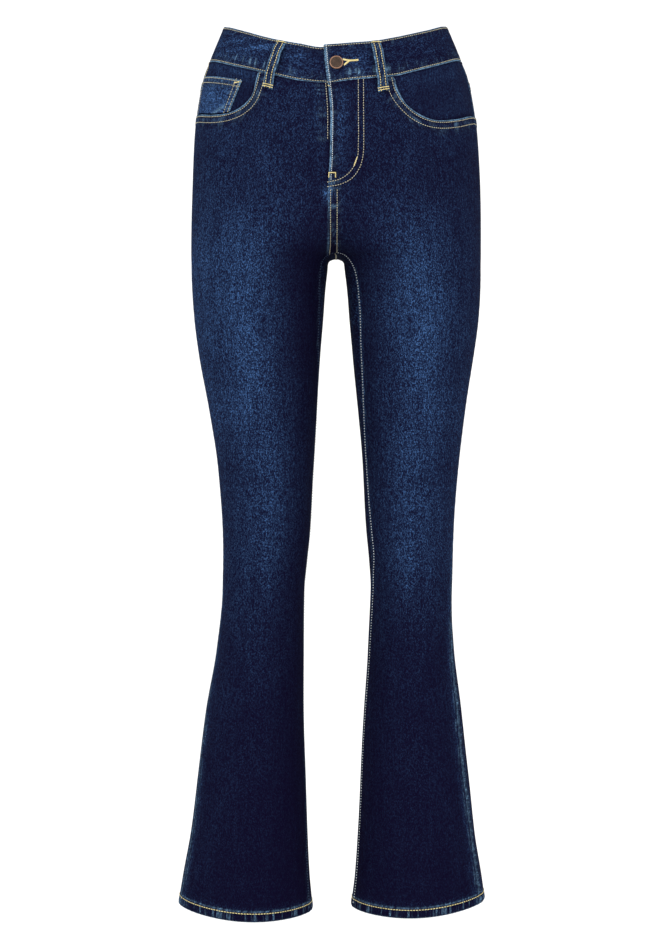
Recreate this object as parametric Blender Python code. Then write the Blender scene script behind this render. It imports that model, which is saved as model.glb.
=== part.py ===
"""Bootcut jeans, worn and upright, as a hollow form of thin cloth walls.

+Z is up, the front faces -Y, and +X is the wearer's left. The origin is the middle of the waist, at the
height of the middle of the waistband over the side seams. Tables and sizes are in millimetres, and each
mesh is made in metres.

One smooth surface carries every piece. It is the union of two upright tubes, one for each leg, whose level
sections are named in FORM. Above the crotch the two tubes run into each other and become the hips and the
waist. Each piece is a grid of points on that surface between its own seams, and its wall is that grid moved
in and out along the surface's normals.
"""

import math

import bpy
import numpy as np

MM = 0.001
LEFT, RIGHT = 1, -1
SIDE_NAMES = {LEFT: "left", RIGHT: "right"}

# Cloth, in millimetres of wall.
DENIM = 1.4
POCKET_DENIM = 1.2
BAND_PROUD = 0.5
BAND_WALL = 2.6
HEM_WALL = 2.8
HEM_DEPTH = 12.0
SEAM_GAP = 0.36
CROTCH_REACH = 40.0
CROTCH_MORE_GAP = 2.0
LAYER_GAP = 0.3
PATCH_LIFT = 0.8

# Level sections of one leg, from the waist to the hem.
# outer, inner: how far its two sides lie from the middle of the pair. A negative inner side lies past it.
# front, back: y of its front and back. mid: y where it is widest. square: 2 is an ellipse, more is fuller.
# blend: how softly the two legs run into each other. sway: how far the pair leans to +X at that height.
FORM_COLUMNS = ("height", "outer", "inner", "front", "back", "mid", "square", "blend", "sway")
FORM = (
    (40, 122.5, -122.5, -86, 94, 4, 2.2, 0.2, 0.0),
    (20, 130.3, -130.3, -92, 99, 4, 2.2, 0.2, 0.0),
    (5, 136.2, -136.2, -97, 102, 4, 2.2, 0.2, 0.0),
    (-20, 146.6, -146.6, -102, 107, 4, 2.2, 0.3, 0.0),
    (-45, 156.2, -156.2, -107, 113, 5, 2.2, 0.6, 0.0),
    (-70, 161.7, -159.7, -111, 119, 6, 2.2, 1.5, 0.2),
    (-110, 167.4, -150, -114, 129, 8, 2.2, 6, 0.6),
    (-160, 170.2, -118, -113, 137, 8, 2.2, 15, 0.8),
    (-205, 171.4, -75, -107, 137, 8, 2.2, 19, 0.9),
    (-235, 171.6, -38, -101, 130, 8, 2.2, 15, 0.9),
    (-250, 171.6, -15, -98, 124, 8, 2.15, 10, 0.9),
    (-256, 171.5, -3, -97, 121, 8, 2.15, 8, 0.9),
    (-260, 171.4, 5, -96, 119, 8, 2.1, 7, 0.9),
    (-264, 171.3, 8.3, -95.5, 117, 8, 2.1, 7, 0.9),
    (-275, 171.2, 10.8, -94, 112, 8, 2.1, 7, 0.9),
    (-293, 170.6, 13.0, -91, 105, 8, 2.1, 7, 0.9),
    (-328, 167.9, 15.5, -86, 95, 6, 2.1, 7, 0.9),
    (-364, 163.1, 18.7, -82, 88, 5, 2.1, 7, 1.0),
    (-435, 151.4, 24.7, -74, 76, 2, 2.05, 7, 2.0),
    (-506, 141.6, 29.4, -67, 65, 0, 2.05, 7, 3.1),
    (-577, 136.7, 33.3, -61, 56, -2, 2.0, 7, 3.0),
    (-613, 135.7, 36.7, -58, 54, -2, 2.0, 7, 2.7),
    (-648, 135.5, 39.2, -57, 55, -1, 2.0, 7, 2.1),
    (-719, 140.8, 38.2, -56, 60, 2, 2.0, 7, 0.0),
    (-790, 151.1, 35.8, -57, 64, 3, 2.0, 7, -2.0),
    (-861, 159.6, 33.0, -59, 66, 3, 2.0, 7, -2.7),
    (-933, 167.8, 29.7, -62, 67, 2, 2.0, 7, -3.3),
    (-986, 177.2, 26.6, -64, 68, 2, 2.0, 7, -4.0),
    (-1015, 181.4, 23.4, -65, 69, 2, 2.0, 7, -4.6),
    (-1040, 184.0, 21.0, -66, 70, 2, 2.0, 7, -5.0),
)

# How far each seam leads towards the front, in degrees round its leg, from its widest line. The outer seams
# run from the waist to the hem, and the inner seams from the crotch to the hem.
SEAM_COLUMNS = ("height", "left_outer", "left_inner", "right_outer", "right_inner")
SEAMS = (
    (30, 5, 34, 5, 32),
    (-120, 5, 34, 5, 32),
    (-262, 4, 35, 2, 32),
    (-284, 4, 38, 1, 31),
    (-316, 4, 38, 0, 27),
    (-356, 3, 35, 0, 22),
    (-393, 3, 33, 0, 12),
    (-440, 3, 29, 0, 5),
    (-495, 3, 25, 0, 2),
    (-540, 4, 26, 0, 0),
    (-592, 6, 27, 1, 0),
    (-640, 12, 14, 3, 1),
    (-735, 26, 8, 8, 2),
    (-836, 28, 5, 15, 6),
    (-939, 22, 5, 15, 10),
    (-1040, 21, 6, 12, 14),
)

# The waistband's top edge and its foot: heights by the angle round each leg, -90 in front and 90 behind.
BAND_COLUMNS = ("angle", "left", "right")
WAIST_TOP = (
    (-104, -22.8, -24.6),
    (-96, -22.3, -24.5),
    (-81, -19.9, -24.0),
    (-67.6, -17.3, -20.2),
    (-54.2, -11.5, -14.1),
    (-47.5, -7.6, -9.9),
    (-35.4, 0.2, -0.9),
    (-17, 12.3, 11.4),
    (0, 18.0, 18.0),
    (25, 16.7, 16.7),
    (46, 14.4, 14.4),
    (65, 12.7, 12.7),
    (90, 12.0, 12.0),
)
BAND_FOOT = (
    (-104, -67.9, -67.6),
    (-94, -67.4, -67.3),
    (-85.6, -65.2, -67.0),
    (-70, -61.4, -64.2),
    (-57.8, -58.0, -57.6),
    (-48.7, -52.0, -51.7),
    (-36, -42.7, -43.0),
    (-15, -28.0, -29.0),
    (0, -24.0, -24.0),
    (25, -24.8, -24.8),
    (46, -26.6, -26.6),
    (65, -28.4, -28.4),
    (90, -29.5, -29.5),
)
SIDE_SEAM_HEIGHT = -20.0

# The waistband's ends, in degrees round the leg: how far the over end's top leans to the wearer's right, how
# far the whole end is drawn back, the angles that the under end adds, and where it starts to step in.
OVER_END_LEAN = 2.5
OVER_END_GAP = 0.12
UNDER_END_ANGLES = (-104.0, -100.0, -95.0, -89.0)
STEP_IN_ANGLE = -66.0
STEP_IN_TURN = 14.0

# The hem of each leg: its height at the side, and how it falls to the inside, the front and the back.
HEM_LEVEL = -1018.5
HEM_TILT = 4.0
HEM_FRONT_FALL = 7.0
HEM_BACK_FALL = 2.5
HEM_LEG_LIFT = 2.2

# The crotch seams. The front one lies a little to the wearer's right, as the fly does.
FLY_LINE_COLUMNS = ("height", "x")
FLY_LINE = (
    (0, -10.2),
    (-66, -9.4),
    (-88, -6.6),
    (-127, -6.7),
    (-166, -7.5),
    (-185, -9.0),
    (-232, -6.9),
    (-247, -5.5),
    (-256, 0.0),
    (-300, 0.0),
)
TURN_HEIGHT = -205.0
TURN_Y = 8.0
CROTCH_POINT_Y = -27.0

# The fly.
FLY_BOTTOM = -177.0
ZIP_START = -7.0
ZIP_WIDTH = 24.0
ZIP_WALL = 1.0
ZIP_DEPTH = 2.2
ZIP_BOTTOM = FLY_BOTTOM + 6.0
SHIELD_START = -12.0
SHIELD_WIDTH = 42.0
SHIELD_DEPTH = ZIP_DEPTH + ZIP_WALL + 0.5

# Front pockets, from the waistband to the side seam, seen from the front: distance from the middle, height.
LEFT_POCKET = (
    (64.6, -57.0),
    (69.8, -76.0),
    (82.3, -92.6),
    (98.6, -103.2),
    (117.5, -106.2),
    (140.5, -101.2),
    (163.0, -90.5),
)
RIGHT_POCKET = (
    (88.2, -52.5),
    (92.6, -70.0),
    (98.4, -83.5),
    (109.8, -92.8),
    (127.0, -96.8),
    (146.0, -94.9),
    (163.0, -88.5),
)
POCKET_POINTS = 60
FACING_DEPTH = 2.2
FACING_PAST_MOUTH = 0.25

# The yokes and the back pockets.
YOKE_SIDE_DEPTH = 34.0
YOKE_CENTRE_DEPTH = 74.0
BACK_POCKET_WIDTH = 128.0
BACK_POCKET_FOOT_WIDTH = 112.0
BACK_POCKET_SIDE = 108.0
BACK_POCKET_POINT = 17.0
BACK_POCKET_LIFT = 1.0
BACK_POCKET_CENTRE = 80.0
BACK_POCKET_BELOW_YOKE = 26.0

# Belt loops.
LOOP_WIDTH = 11.6
LOOP_WALL = 1.6
LOOP_BOW = 4.9
LOOP_SEAT = 0.4
LOOP_BELOW_TOP = 1.5
LOOP_BELOW_BAND = 16.5
LOOP_RISE_SHARE = 0.27

# The button.
BUTTON_X = 0.5
BUTTON_HEIGHT = -44.6
BUTTON_RADIUS = 8.1

# The coin pocket, inside the wearer's right pocket.
COIN_POCKET_TOP = -59.9
COIN_POCKET_TOP_X = 108.0
COIN_POCKET_SIDE_TOP = -42.0
COIN_POCKET_FOOT_X = 122.5
COIN_POCKET_ABOVE_MOUTH = 2.2
COIN_POCKET_SIDE_GAP = 0.4
COIN_POCKET_OUTWARD = 10.0
COIN_POCKET_WALL = 1.1

# Belt loops: name, side, and the angle round the waist of the top and of the foot.
BELT_LOOPS = (
    ("belt_loop_front_left", LEFT, -66.3, -65.3),
    ("belt_loop_front_right", RIGHT, -57.9, -54.2),
    ("belt_loop_back_left", LEFT, 46.0, 46.0),
    ("belt_loop_back_right", RIGHT, 46.0, 46.0),
    ("belt_loop_centre_back", LEFT, 90.0, 90.0),
)

# The button's profile: share of its radius, and height over its seat.
BUTTON_PROFILE = (
    (0.6, 0.0),
    (0.97, 0.5),
    (1.0, 1.3),
    (0.95, 2.1),
    (0.84, 2.3),
    (0.76, 1.9),
    (0.3, 2.0),
)
BUTTON_SIDES = 24

# The grids of points. A panel's columns run from its crotch seam to its outer seam, and the front pocket's
# corner falls on column PANEL_SPLIT. Row steps: how many, and the size of the first and the last.
PANEL_COLUMNS = np.array([0, 0.045, 0.1, 0.17, 0.25, 0.335, 0.425, 0.52, 0.615, 0.71, 0.805, 0.9, 1.0])
PANEL_SPLIT = 7
RISE_ROWS = (11, 1.4, 0.6)
LEG_ROWS = (29, 0.28, 1.15)
FACING_STEPS = len(PANEL_COLUMNS) - 1 - PANEL_SPLIT
PATCH_ROWS = 5
HALF_GAP = SEAM_GAP / 2

# How the grid is evened out close to the crotch: rounds, share of each move, and how far from the crotch.
SETTLE_STEPS = 24
SETTLE_SHARE = 0.6
SETTLE_REACH = 95.0
SETTLE_FALL = 60.0

DENIM_COLOUR = (0.020, 0.030, 0.080)
FACING_COLOUR = (0.018, 0.026, 0.070)
BUTTON_COLOUR = (0.16, 0.085, 0.045)
ZIP_COLOUR = (0.30, 0.22, 0.10)


def steady_slopes(at, values):
    """The slope at each row of a table, so that the curve through it never overshoots a row."""
    step = np.diff(at)
    rise = np.diff(values) / step
    slopes = np.zeros(len(at))
    same_way = rise[:-1] * rise[1:] > 0
    weight_a = 2 * step[1:] + step[:-1]
    weight_b = step[1:] + 2 * step[:-1]
    safe = np.where(same_way, rise[:-1], 1.0), np.where(same_way, rise[1:], 1.0)
    harmonic = (weight_a + weight_b) / (weight_a / safe[0] + weight_b / safe[1])
    slopes[1:-1] = np.where(same_way, harmonic, 0.0)
    slopes[0], slopes[-1] = rise[0], rise[-1]
    return slopes


class Table:
    """A short table with named columns, read at any place along a smooth curve through its rows."""

    def __init__(self, columns, rows):
        data = np.array(sorted(rows), float)
        self.at = data[:, 0]
        self.curves = {
            name: (data[:, i], steady_slopes(self.at, data[:, i])) for i, name in enumerate(columns) if i
        }

    def read(self, name, place):
        values, slopes = self.curves[name]
        place = np.clip(place, self.at[0], self.at[-1])
        row = np.clip(np.searchsorted(self.at, place) - 1, 0, len(self.at) - 2)
        step = self.at[row + 1] - self.at[row]
        t = (place - self.at[row]) / step
        return (
            (1 + 2 * t) * (1 - t) ** 2 * values[row]
            + t * (1 - t) ** 2 * step * slopes[row]
            + t * t * (3 - 2 * t) * values[row + 1]
            + t * t * (t - 1) * step * slopes[row + 1]
        )


form = Table(FORM_COLUMNS, FORM)
seams = Table(SEAM_COLUMNS, SEAMS)
fly_line = Table(FLY_LINE_COLUMNS, FLY_LINE)
waist_top = Table(BAND_COLUMNS, WAIST_TOP)
band_foot = Table(BAND_COLUMNS, BAND_FOOT)


def points(x, y, z):
    x, y, z = np.broadcast_arrays(*(np.asarray(c, float) for c in (x, y, z)))
    return np.stack([x, y, z], axis=-1)


def leg_middle(height):
    return (form.read("outer", height) + form.read("inner", height)) / 2


def leg_distance(side, p):
    """Roughly how far a point is outside one leg's tube, in millimetres."""
    height = p[..., 2]
    outer, inner = form.read("outer", height), form.read("inner", height)
    front, back, mid = (form.read(name, height) for name in ("front", "back", "mid"))
    square = form.read("square", height)
    across = side * (p[..., 0] - form.read("sway", height)) - (outer + inner) / 2
    along = p[..., 1] - mid
    reach = np.where(along < 0, mid - front, back - mid)
    size = (np.abs(across * 2 / (outer - inner)) ** square + np.abs(along / reach) ** square) ** (1 / square)
    size = np.maximum(size, 1e-6)
    return np.hypot(across, along) * (1 - 1 / size)


def distance(p):
    """The same for the whole form: the two legs, run softly into each other."""
    left, right = leg_distance(LEFT, p), leg_distance(RIGHT, p)
    blend = form.read("blend", p[..., 2])
    near = np.maximum(blend - np.abs(left - right), 0) / blend
    return np.minimum(left, right) - near**2 * blend / 4


def slope_of_distance(p):
    h = 0.05
    steps = np.eye(3) * h
    return np.stack([(distance(p + s) - distance(p - s)) / (2 * h) for s in steps], axis=-1)


def normals(p):
    slope = slope_of_distance(p)
    return slope / np.linalg.norm(slope, axis=-1, keepdims=True)


def onto_surface(p):
    """Points near the form, moved onto it."""
    for _ in range(6):
        slope = slope_of_distance(p)
        steep = np.maximum((slope**2).sum(axis=-1), 0.2)
        move = np.clip(distance(p) / steep, -6, 6)
        p = p - move[..., None] * slope
    return p


def cast(start, direction, reach=320.0):
    """Where rays that start inside the form leave it."""
    low = np.zeros(start.shape[:-1])
    high = np.full(start.shape[:-1], reach)
    for _ in range(44):
        middle = (low + high) / 2
        inside = distance(start + middle[..., None] * direction) < 0
        low, high = np.where(inside, middle, low), np.where(inside, high, middle)
    return start + low[..., None] * direction


def around_leg(side, angle, height):
    """The point of one leg at an angle round it: 0 is its outer side, -90 its front, 90 its back."""
    angle, height = np.broadcast_arrays(np.radians(angle), np.asarray(height, float))
    start = points(form.read("sway", height) + side * leg_middle(height), form.read("mid", height), height)
    return cast(start, points(side * np.cos(angle), np.sin(angle), 0 * angle), 200.0)


def angle_round_leg(side, p):
    height = p[..., 2]
    across = side * (p[..., 0] - form.read("sway", height)) - leg_middle(height)
    return np.degrees(np.arctan2(p[..., 1] - form.read("mid", height), across))


def front_point(x, height):
    x, height = np.broadcast_arrays(np.asarray(x, float), np.asarray(height, float))
    start = points(x, form.read("mid", height), height)
    return cast(start, points(0 * x, -1.0 + 0 * x, 0 * x))


def back_point(x, height):
    x, height = np.broadcast_arrays(np.asarray(x, float), np.asarray(height, float))
    start = points(x, form.read("mid", height), height)
    return cast(start, points(0 * x, 1.0 + 0 * x, 0 * x))


def spread(p, fractions):
    """Points at these fractions of the length of a polyline."""
    length = np.concatenate([[0], np.cumsum(np.linalg.norm(np.diff(p, axis=0), axis=1))])
    at = np.asarray(fractions) * length[-1]
    return np.stack([np.interp(at, length, p[:, i]) for i in range(3)], axis=-1)


def smooth_step(t):
    t = np.clip(t, 0, 1)
    return t * t * (3 - 2 * t)


# Heights round the waist and the hem.
def waist_height(side, angle):
    return waist_top.read(SIDE_NAMES[side], angle)


def band_foot_height(side, angle):
    return band_foot.read(SIDE_NAMES[side], angle)


def hem_height(side, angle):
    turn = np.radians(angle)
    even = (HEM_FRONT_FALL + HEM_BACK_FALL) / 2
    lean = (HEM_FRONT_FALL - HEM_BACK_FALL) / 2
    fall = even * np.sin(turn) ** 2 - lean * np.sin(turn)
    return HEM_LEVEL + side * HEM_LEG_LIFT + HEM_TILT * np.cos(turn) - fall


def seam_angle(side, which, height):
    lead = seams.read(f"{SIDE_NAMES[side]}_{which}", height)
    return -lead if which == "outer" else 180 + lead


def outer_seam(side, top, fractions, foot=None):
    """The outer seam from a height down to the hem."""
    foot = hem_height(side, 0) if foot is None else foot
    height = np.linspace(top, foot, 240)
    line = around_leg(side, seam_angle(side, "outer", height), height)
    return spread(line, fractions)


def front_rise(top):
    """The centre front seam, from a height down and under to the point where the four legs of cloth meet."""
    height = np.linspace(top, TURN_HEIGHT, 40)
    upright = front_point(fly_line.read("x", height), height)
    turn = np.radians(np.linspace(180, 270, 60))[1:]
    hub = points(fly_line.read("x", TURN_HEIGHT), TURN_Y, np.full(turn.shape, TURN_HEIGHT))
    under = cast(hub, points(0 * turn, np.cos(turn), np.sin(turn)))
    under[:, 0] = fly_line.read("x", under[:, 2])
    under = onto_line(under)
    line = np.concatenate([upright, under])
    return cut_at_crotch_point(line, ahead=True)


def onto_line(p):
    """Points moved onto the form without leaving their x."""
    for _ in range(8):
        slope = slope_of_distance(p)
        slope[..., 0] = 0
        steep = np.maximum((slope**2).sum(axis=-1), 0.2)
        p = p - (np.clip(distance(p) / steep, -4, 4))[..., None] * slope
    return p


def cut_at_crotch_point(line, ahead):
    """The part of a centre seam before the crotch point, with that point at its end."""
    kept = line[line[:, 1] < CROTCH_POINT_Y - 1] if ahead else line[line[:, 1] > CROTCH_POINT_Y + 1]
    return np.concatenate([kept, crotch_point()[None]])


def crotch_point():
    hub = points(0.0, CROTCH_POINT_Y, TURN_HEIGHT)
    return cast(hub[None], points(0.0, 0.0, -1.0)[None])[0]


def back_rise(top):
    """The centre back seam, from a height down and under to the same point."""
    height = np.linspace(top, TURN_HEIGHT, 40)
    upright = back_point(0 * height, height)
    turn = np.radians(np.linspace(0, -140, 90))[1:]
    hub = points(0 * turn, TURN_Y, np.full(turn.shape, TURN_HEIGHT))
    under = cast(hub, points(0 * turn, np.cos(turn), np.sin(turn)))
    return cut_at_crotch_point(np.concatenate([upright, under]), ahead=False)


def inner_seam(side, foot):
    """An inner seam, from the crotch point to a height."""
    start = crotch_point()
    height = np.linspace(start[2] - 9, foot, 220)
    leg = around_leg(side, seam_angle(side, "inner", height), height)
    over = start + (leg[0] - start) * np.linspace(0, 1, 9)[:-1, None]
    over[1:] = onto_surface(over[1:] + points(0, 0, -1.5))
    return np.concatenate([over, leg])


def graded(count, first, last):
    """Fractions from 0 to 1 whose steps grow evenly from one size to the other."""
    steps = np.linspace(first, last, count)
    return np.concatenate([[0], np.cumsum(steps) / steps.sum()])


def fill(side, top, foot, inner, outer, columns, rows):
    """A grid of points on the form between four lines. Row 0 is the top line, column 0 the inner line.

    The lines are read as an angle round the leg and a height, filled in between, and put back on the form.
    """

    def flat(line, inner_end=False):
        angle = angle_round_leg(side, line)
        angle = np.where(angle < -120, angle + 360, angle) if inner_end == "back" else angle
        angle = np.where(angle > 120, angle - 360, angle) if inner_end == "front" else angle
        return np.stack([angle, line[:, 2]], axis=-1)

    end = "front" if inner[0, 1] < outer[0, 1] else "back"
    t, f, i, o = (flat(line, end) for line in (top, foot, inner, outer))
    u, v = columns[None, :, None], rows[:, None, None]
    grid = (
        (1 - v) * t[None] + v * f[None] + (1 - u) * i[:, None] + u * o[:, None]
        - (1 - v) * ((1 - u) * t[0] + u * t[-1]) - v * ((1 - u) * f[0] + u * f[-1])
    )
    angle, height = np.radians(grid[..., 0]), grid[..., 1]
    guess = superellipse_point(side, angle, height)
    limit = np.minimum(fly_line.read("x", height) * side, 0) + 0.4
    guess[..., 0] = side * np.maximum(side * guess[..., 0], limit)
    p = onto_surface(guess)
    p[0], p[-1], p[:, 0], p[:, -1] = top, foot, inner, outer
    return settle(p)


def superellipse_point(side, angle, height):
    outer, inner = form.read("outer", height), form.read("inner", height)
    front, back, mid = (form.read(name, height) for name in ("front", "back", "mid"))
    square = form.read("square", height)
    reach = np.where(np.sin(angle) < 0, mid - front, back - mid)
    across, along = np.cos(angle) * 2 / (outer - inner), np.sin(angle) / reach
    size = (np.abs(across) ** square + np.abs(along) ** square) ** (1 / square)
    x = form.read("sway", height) + side * ((outer + inner) / 2 + np.cos(angle) / size)
    return points(x, mid + np.sin(angle) / size, height)


def settle(p):
    """Evens out the grid close to the crotch, where angles and heights alone bunch it up."""
    crotch = crotch_point()
    for _ in range(SETTLE_STEPS):
        away = np.linalg.norm(p[1:-1, 1:-1] - crotch, axis=-1)
        share = SETTLE_SHARE * smooth_step((SETTLE_REACH - away) / SETTLE_FALL)[..., None]
        even = (p[:-2, 1:-1] + p[2:, 1:-1] + p[1:-1, :-2] + p[1:-1, 2:]) / 4
        p[1:-1, 1:-1] += share * (even - p[1:-1, 1:-1])
        p[1:-1, 1:-1] = onto_surface(p[1:-1, 1:-1])
    return p


def unit(v):
    return v / np.linalg.norm(v, axis=-1, keepdims=True)


def drawn_in(p, top=0.0, foot=0.0, inner=0.0, outer=0.0):
    """A grid whose edges are drawn in by these amounts, to leave a seam's gap."""
    q = p.copy()
    for amount, edge, beside in (
        (top, np.s_[0], np.s_[1]),
        (foot, np.s_[-1], np.s_[-2]),
        (inner, np.s_[:, 0], np.s_[:, 1]),
        (outer, np.s_[:, -1], np.s_[:, -2]),
    ):
        along = unit(np.gradient(p[edge], axis=0))
        way = p[beside] - p[edge]
        from_crotch = np.linalg.norm(p[edge] - crotch_point(), axis=-1)
        near_crotch = smooth_step((CROTCH_REACH - from_crotch) / CROTCH_REACH)
        move = (amount * (1 + CROTCH_MORE_GAP * near_crotch))[:, None]
        q[edge] += move * unit(way - (way * along).sum(axis=-1, keepdims=True) * along)
    return q


def material(name, colour, roughness, metallic=0.0):
    m = bpy.data.materials.new(name)
    m.use_nodes = True
    shader = m.node_tree.nodes["Principled BSDF"]
    shader.inputs["Base Color"].default_value = (*colour, 1)
    shader.inputs["Roughness"].default_value = roughness
    shader.inputs["Metallic"].default_value = metallic
    return m


def add_mesh(name, verts, faces, finish, smooth_angle=40):
    mesh = bpy.data.meshes.new(name)
    mesh.from_pydata([tuple(v) for v in np.asarray(verts) * MM], [], faces)
    mesh.validate()
    mesh.shade_smooth()
    mesh.set_sharp_from_angle(angle=math.radians(smooth_angle))
    mesh.materials.append(finish)
    obj = bpy.data.objects.new(name, mesh)
    bpy.context.scene.collection.objects.link(obj)
    return obj


def wall(name, outside, inside, finish):
    """A closed solid between two grids of the same size, turned so that its faces point out."""
    rows, columns = outside.shape[:2]
    a = np.arange(rows * columns).reshape(rows, columns)
    b = a + rows * columns
    cells = [(r, c) for r in range(rows - 1) for c in range(columns - 1)]
    quads = [(a[r, c], a[r, c + 1], a[r + 1, c + 1], a[r + 1, c]) for r, c in cells]
    quads += [(b[r, c], b[r + 1, c], b[r + 1, c + 1], b[r, c + 1]) for r, c in cells]
    edge = [a[0, c] for c in range(columns)] + [a[r, -1] for r in range(1, rows)]
    edge += [a[-1, c] for c in range(columns - 2, -1, -1)] + [a[r, 0] for r in range(rows - 2, 0, -1)]
    shift = rows * columns
    for here, following in zip(edge, edge[1:] + edge[:1]):
        quads.append((following, here, here + shift, following + shift))
    verts = np.concatenate([outside.reshape(-1, 3), inside.reshape(-1, 3)])
    quads = [tuple(int(i) for i in q) for q in quads]
    if signed_volume(verts, quads) < 0:
        quads = [q[::-1] for q in quads]
    return add_mesh(name, verts, quads, finish)


def signed_volume(verts, quads):
    q = verts[np.array(quads)]
    first = np.einsum("ij,ij->i", q[:, 0], np.cross(q[:, 1], q[:, 2]))
    second = np.einsum("ij,ij->i", q[:, 0], np.cross(q[:, 2], q[:, 3]))
    return (first + second).sum()


def layer(name, grid, outside, thickness, finish):
    """A wall whose outside lies this far out from the form."""
    way = normals(grid)
    thickness = np.asarray(thickness, float)
    thickness = thickness[:, None, None] if thickness.ndim else thickness
    return wall(name, grid + outside * way, grid + (outside - thickness) * way, finish)


def clear_scene():
    for obj in list(bpy.data.objects):
        bpy.data.objects.remove(obj, do_unlink=True)


def smooth_curve(drawn, count):
    """Points along a smooth curve through a few drawn ones."""
    drawn = np.array(drawn, float)
    t = np.linspace(0, len(drawn) - 1, count)
    slopes = np.gradient(drawn, axis=0)
    row = np.clip(t.astype(int), 0, len(drawn) - 2)
    w = (t - row)[:, None]
    return (
        (1 + 2 * w) * (1 - w) ** 2 * drawn[row] + w * (1 - w) ** 2 * slopes[row]
        + w * w * (3 - 2 * w) * drawn[row + 1] + w * w * (w - 1) * slopes[row + 1]
    )


def pocket_line(side):
    """The front pocket's edge on the form, from the waistband to the outer seam."""
    curve = smooth_curve(LEFT_POCKET if side == LEFT else RIGHT_POCKET, POCKET_POINTS)
    on_form = front_point(side * curve[:, 0], curve[:, 1])
    end_height = curve[-1, 1]
    end = around_leg(side, seam_angle(side, "outer", end_height), end_height)
    start_angle = angle_round_leg(side, on_form[0])
    start = around_leg(side, start_angle, band_foot_height(side, start_angle))
    return np.concatenate([start[None], on_form[1:-1], end[None]])


def fly_start(side):
    """Where the fly's edge meets the waistband."""
    angle = -90.0
    for _ in range(4):
        height = band_foot_height(side, angle)
        start = front_point(fly_line.read("x", height), height)
        angle = angle_round_leg(side, start)
    return start


def front_angles(side):
    """Angles of a front's columns along the waistband, from the fly to the pocket."""
    start = angle_round_leg(side, fly_start(side))
    corner = angle_round_leg(side, pocket_line(side)[0])
    return start + (corner - start) * PANEL_COLUMNS[: PANEL_SPLIT + 1] / PANEL_COLUMNS[PANEL_SPLIT]


def facing_angles(side):
    """Angles of a pocket facing's columns along the waistband, from the pocket to the outer seam."""
    corner = angle_round_leg(side, pocket_line(side)[0])
    return np.linspace(corner, seam_angle(side, "outer", SIDE_SEAM_HEIGHT), FACING_STEPS + 1)


def yoke_angles(side):
    """Angles of a yoke's columns along the waistband, from the centre back to the outer seam."""
    end = seam_angle(side, "outer", SIDE_SEAM_HEIGHT)
    return 90 + (end - 90) * PANEL_COLUMNS


def along_waistband(side, angles):
    return around_leg(side, angles, band_foot_height(side, angles))


def front_top(side):
    """A front's top line: the waistband's seam from the fly, then the pocket's edge."""
    along_band = along_waistband(side, front_angles(side))
    along_band[0] = fly_start(side)
    rest = (PANEL_COLUMNS[PANEL_SPLIT:] - PANEL_COLUMNS[PANEL_SPLIT]) / (1 - PANEL_COLUMNS[PANEL_SPLIT])
    return np.concatenate([along_band[:-1], spread(pocket_line(side), rest)])


def yoke_seam(side):
    """The seam under the yoke, from the centre back to the outer seam."""
    centre_height = float(band_foot_height(side, 90)) - YOKE_CENTRE_DEPTH
    side_height = float(band_foot_height(side, 0)) - YOKE_SIDE_DEPTH
    start = back_point(0.0, centre_height)
    start_angle = angle_round_leg(side, start)
    end_angle = seam_angle(side, "outer", side_height)
    angles = start_angle + (end_angle - start_angle) * PANEL_COLUMNS
    line = around_leg(side, angles, centre_height + (side_height - centre_height) * PANEL_COLUMNS)
    line[0] = start
    return line


def hem_line(side, start_angle, end_angle):
    angles = start_angle + (end_angle - start_angle) * PANEL_COLUMNS
    return around_leg(side, angles, hem_height(side, angles))


def leg_panel(side, face):
    """The grid of a front or a back: down its crotch seam and inner seam, and down its outer seam."""
    ahead = face == "front"
    top = front_top(side) if ahead else yoke_seam(side)
    rise = front_rise(top[0, 2]) if ahead else back_rise(top[0, 2])
    rise_rows, leg_rows = graded(*RISE_ROWS), graded(*LEG_ROWS)
    inner_foot, outer_foot = (float(seam_angle(side, which, HEM_LEVEL)) for which in ("inner", "outer"))
    leg = inner_seam(side, hem_height(side, inner_foot))
    leg_rows = with_hem_rows(leg_rows, np.linalg.norm(np.diff(leg, axis=0), axis=1).sum())
    inner = np.concatenate([spread(rise, rise_rows), spread(leg, leg_rows)[1:]])
    knee_side_start = crotch_point()[2]
    upper = outer_seam(side, top[-1, 2], rise_rows, knee_side_start)
    lower = outer_seam(side, knee_side_start, leg_rows, hem_height(side, outer_foot))
    outer = np.concatenate([upper, lower[1:]])
    foot = hem_line(side, inner_foot - 360 if ahead else inner_foot, outer_foot)
    inner[0], outer[0] = top[0], top[-1]
    inner[-1], outer[-1] = foot[0], foot[-1]
    down = np.concatenate([[0], np.cumsum(np.linalg.norm(np.diff(outer, axis=0), axis=1))])
    return fill(side, top, foot, inner, outer, PANEL_COLUMNS, down / down[-1])


def with_hem_rows(fractions, length):
    """Fractions down a leg, with two rows close together where the hem's fold begins."""
    fold = 1 - HEM_DEPTH / length
    return np.concatenate([fractions[fractions < fold - 0.01], [fold, fold + 0.6 / length, 1.0]])


def hem_thickness(rows):
    thickness = np.full(rows, DENIM)
    thickness[-2:] = HEM_WALL
    return thickness


def make_leg_panels(grids, finish):
    for (side, face), grid in grids.items():
        grid = drawn_in(grid, top=HALF_GAP, inner=HALF_GAP, outer=HALF_GAP)
        layer(f"{face}_{SIDE_NAMES[side]}", grid, 0.0, hem_thickness(len(grid)), finish)


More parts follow.
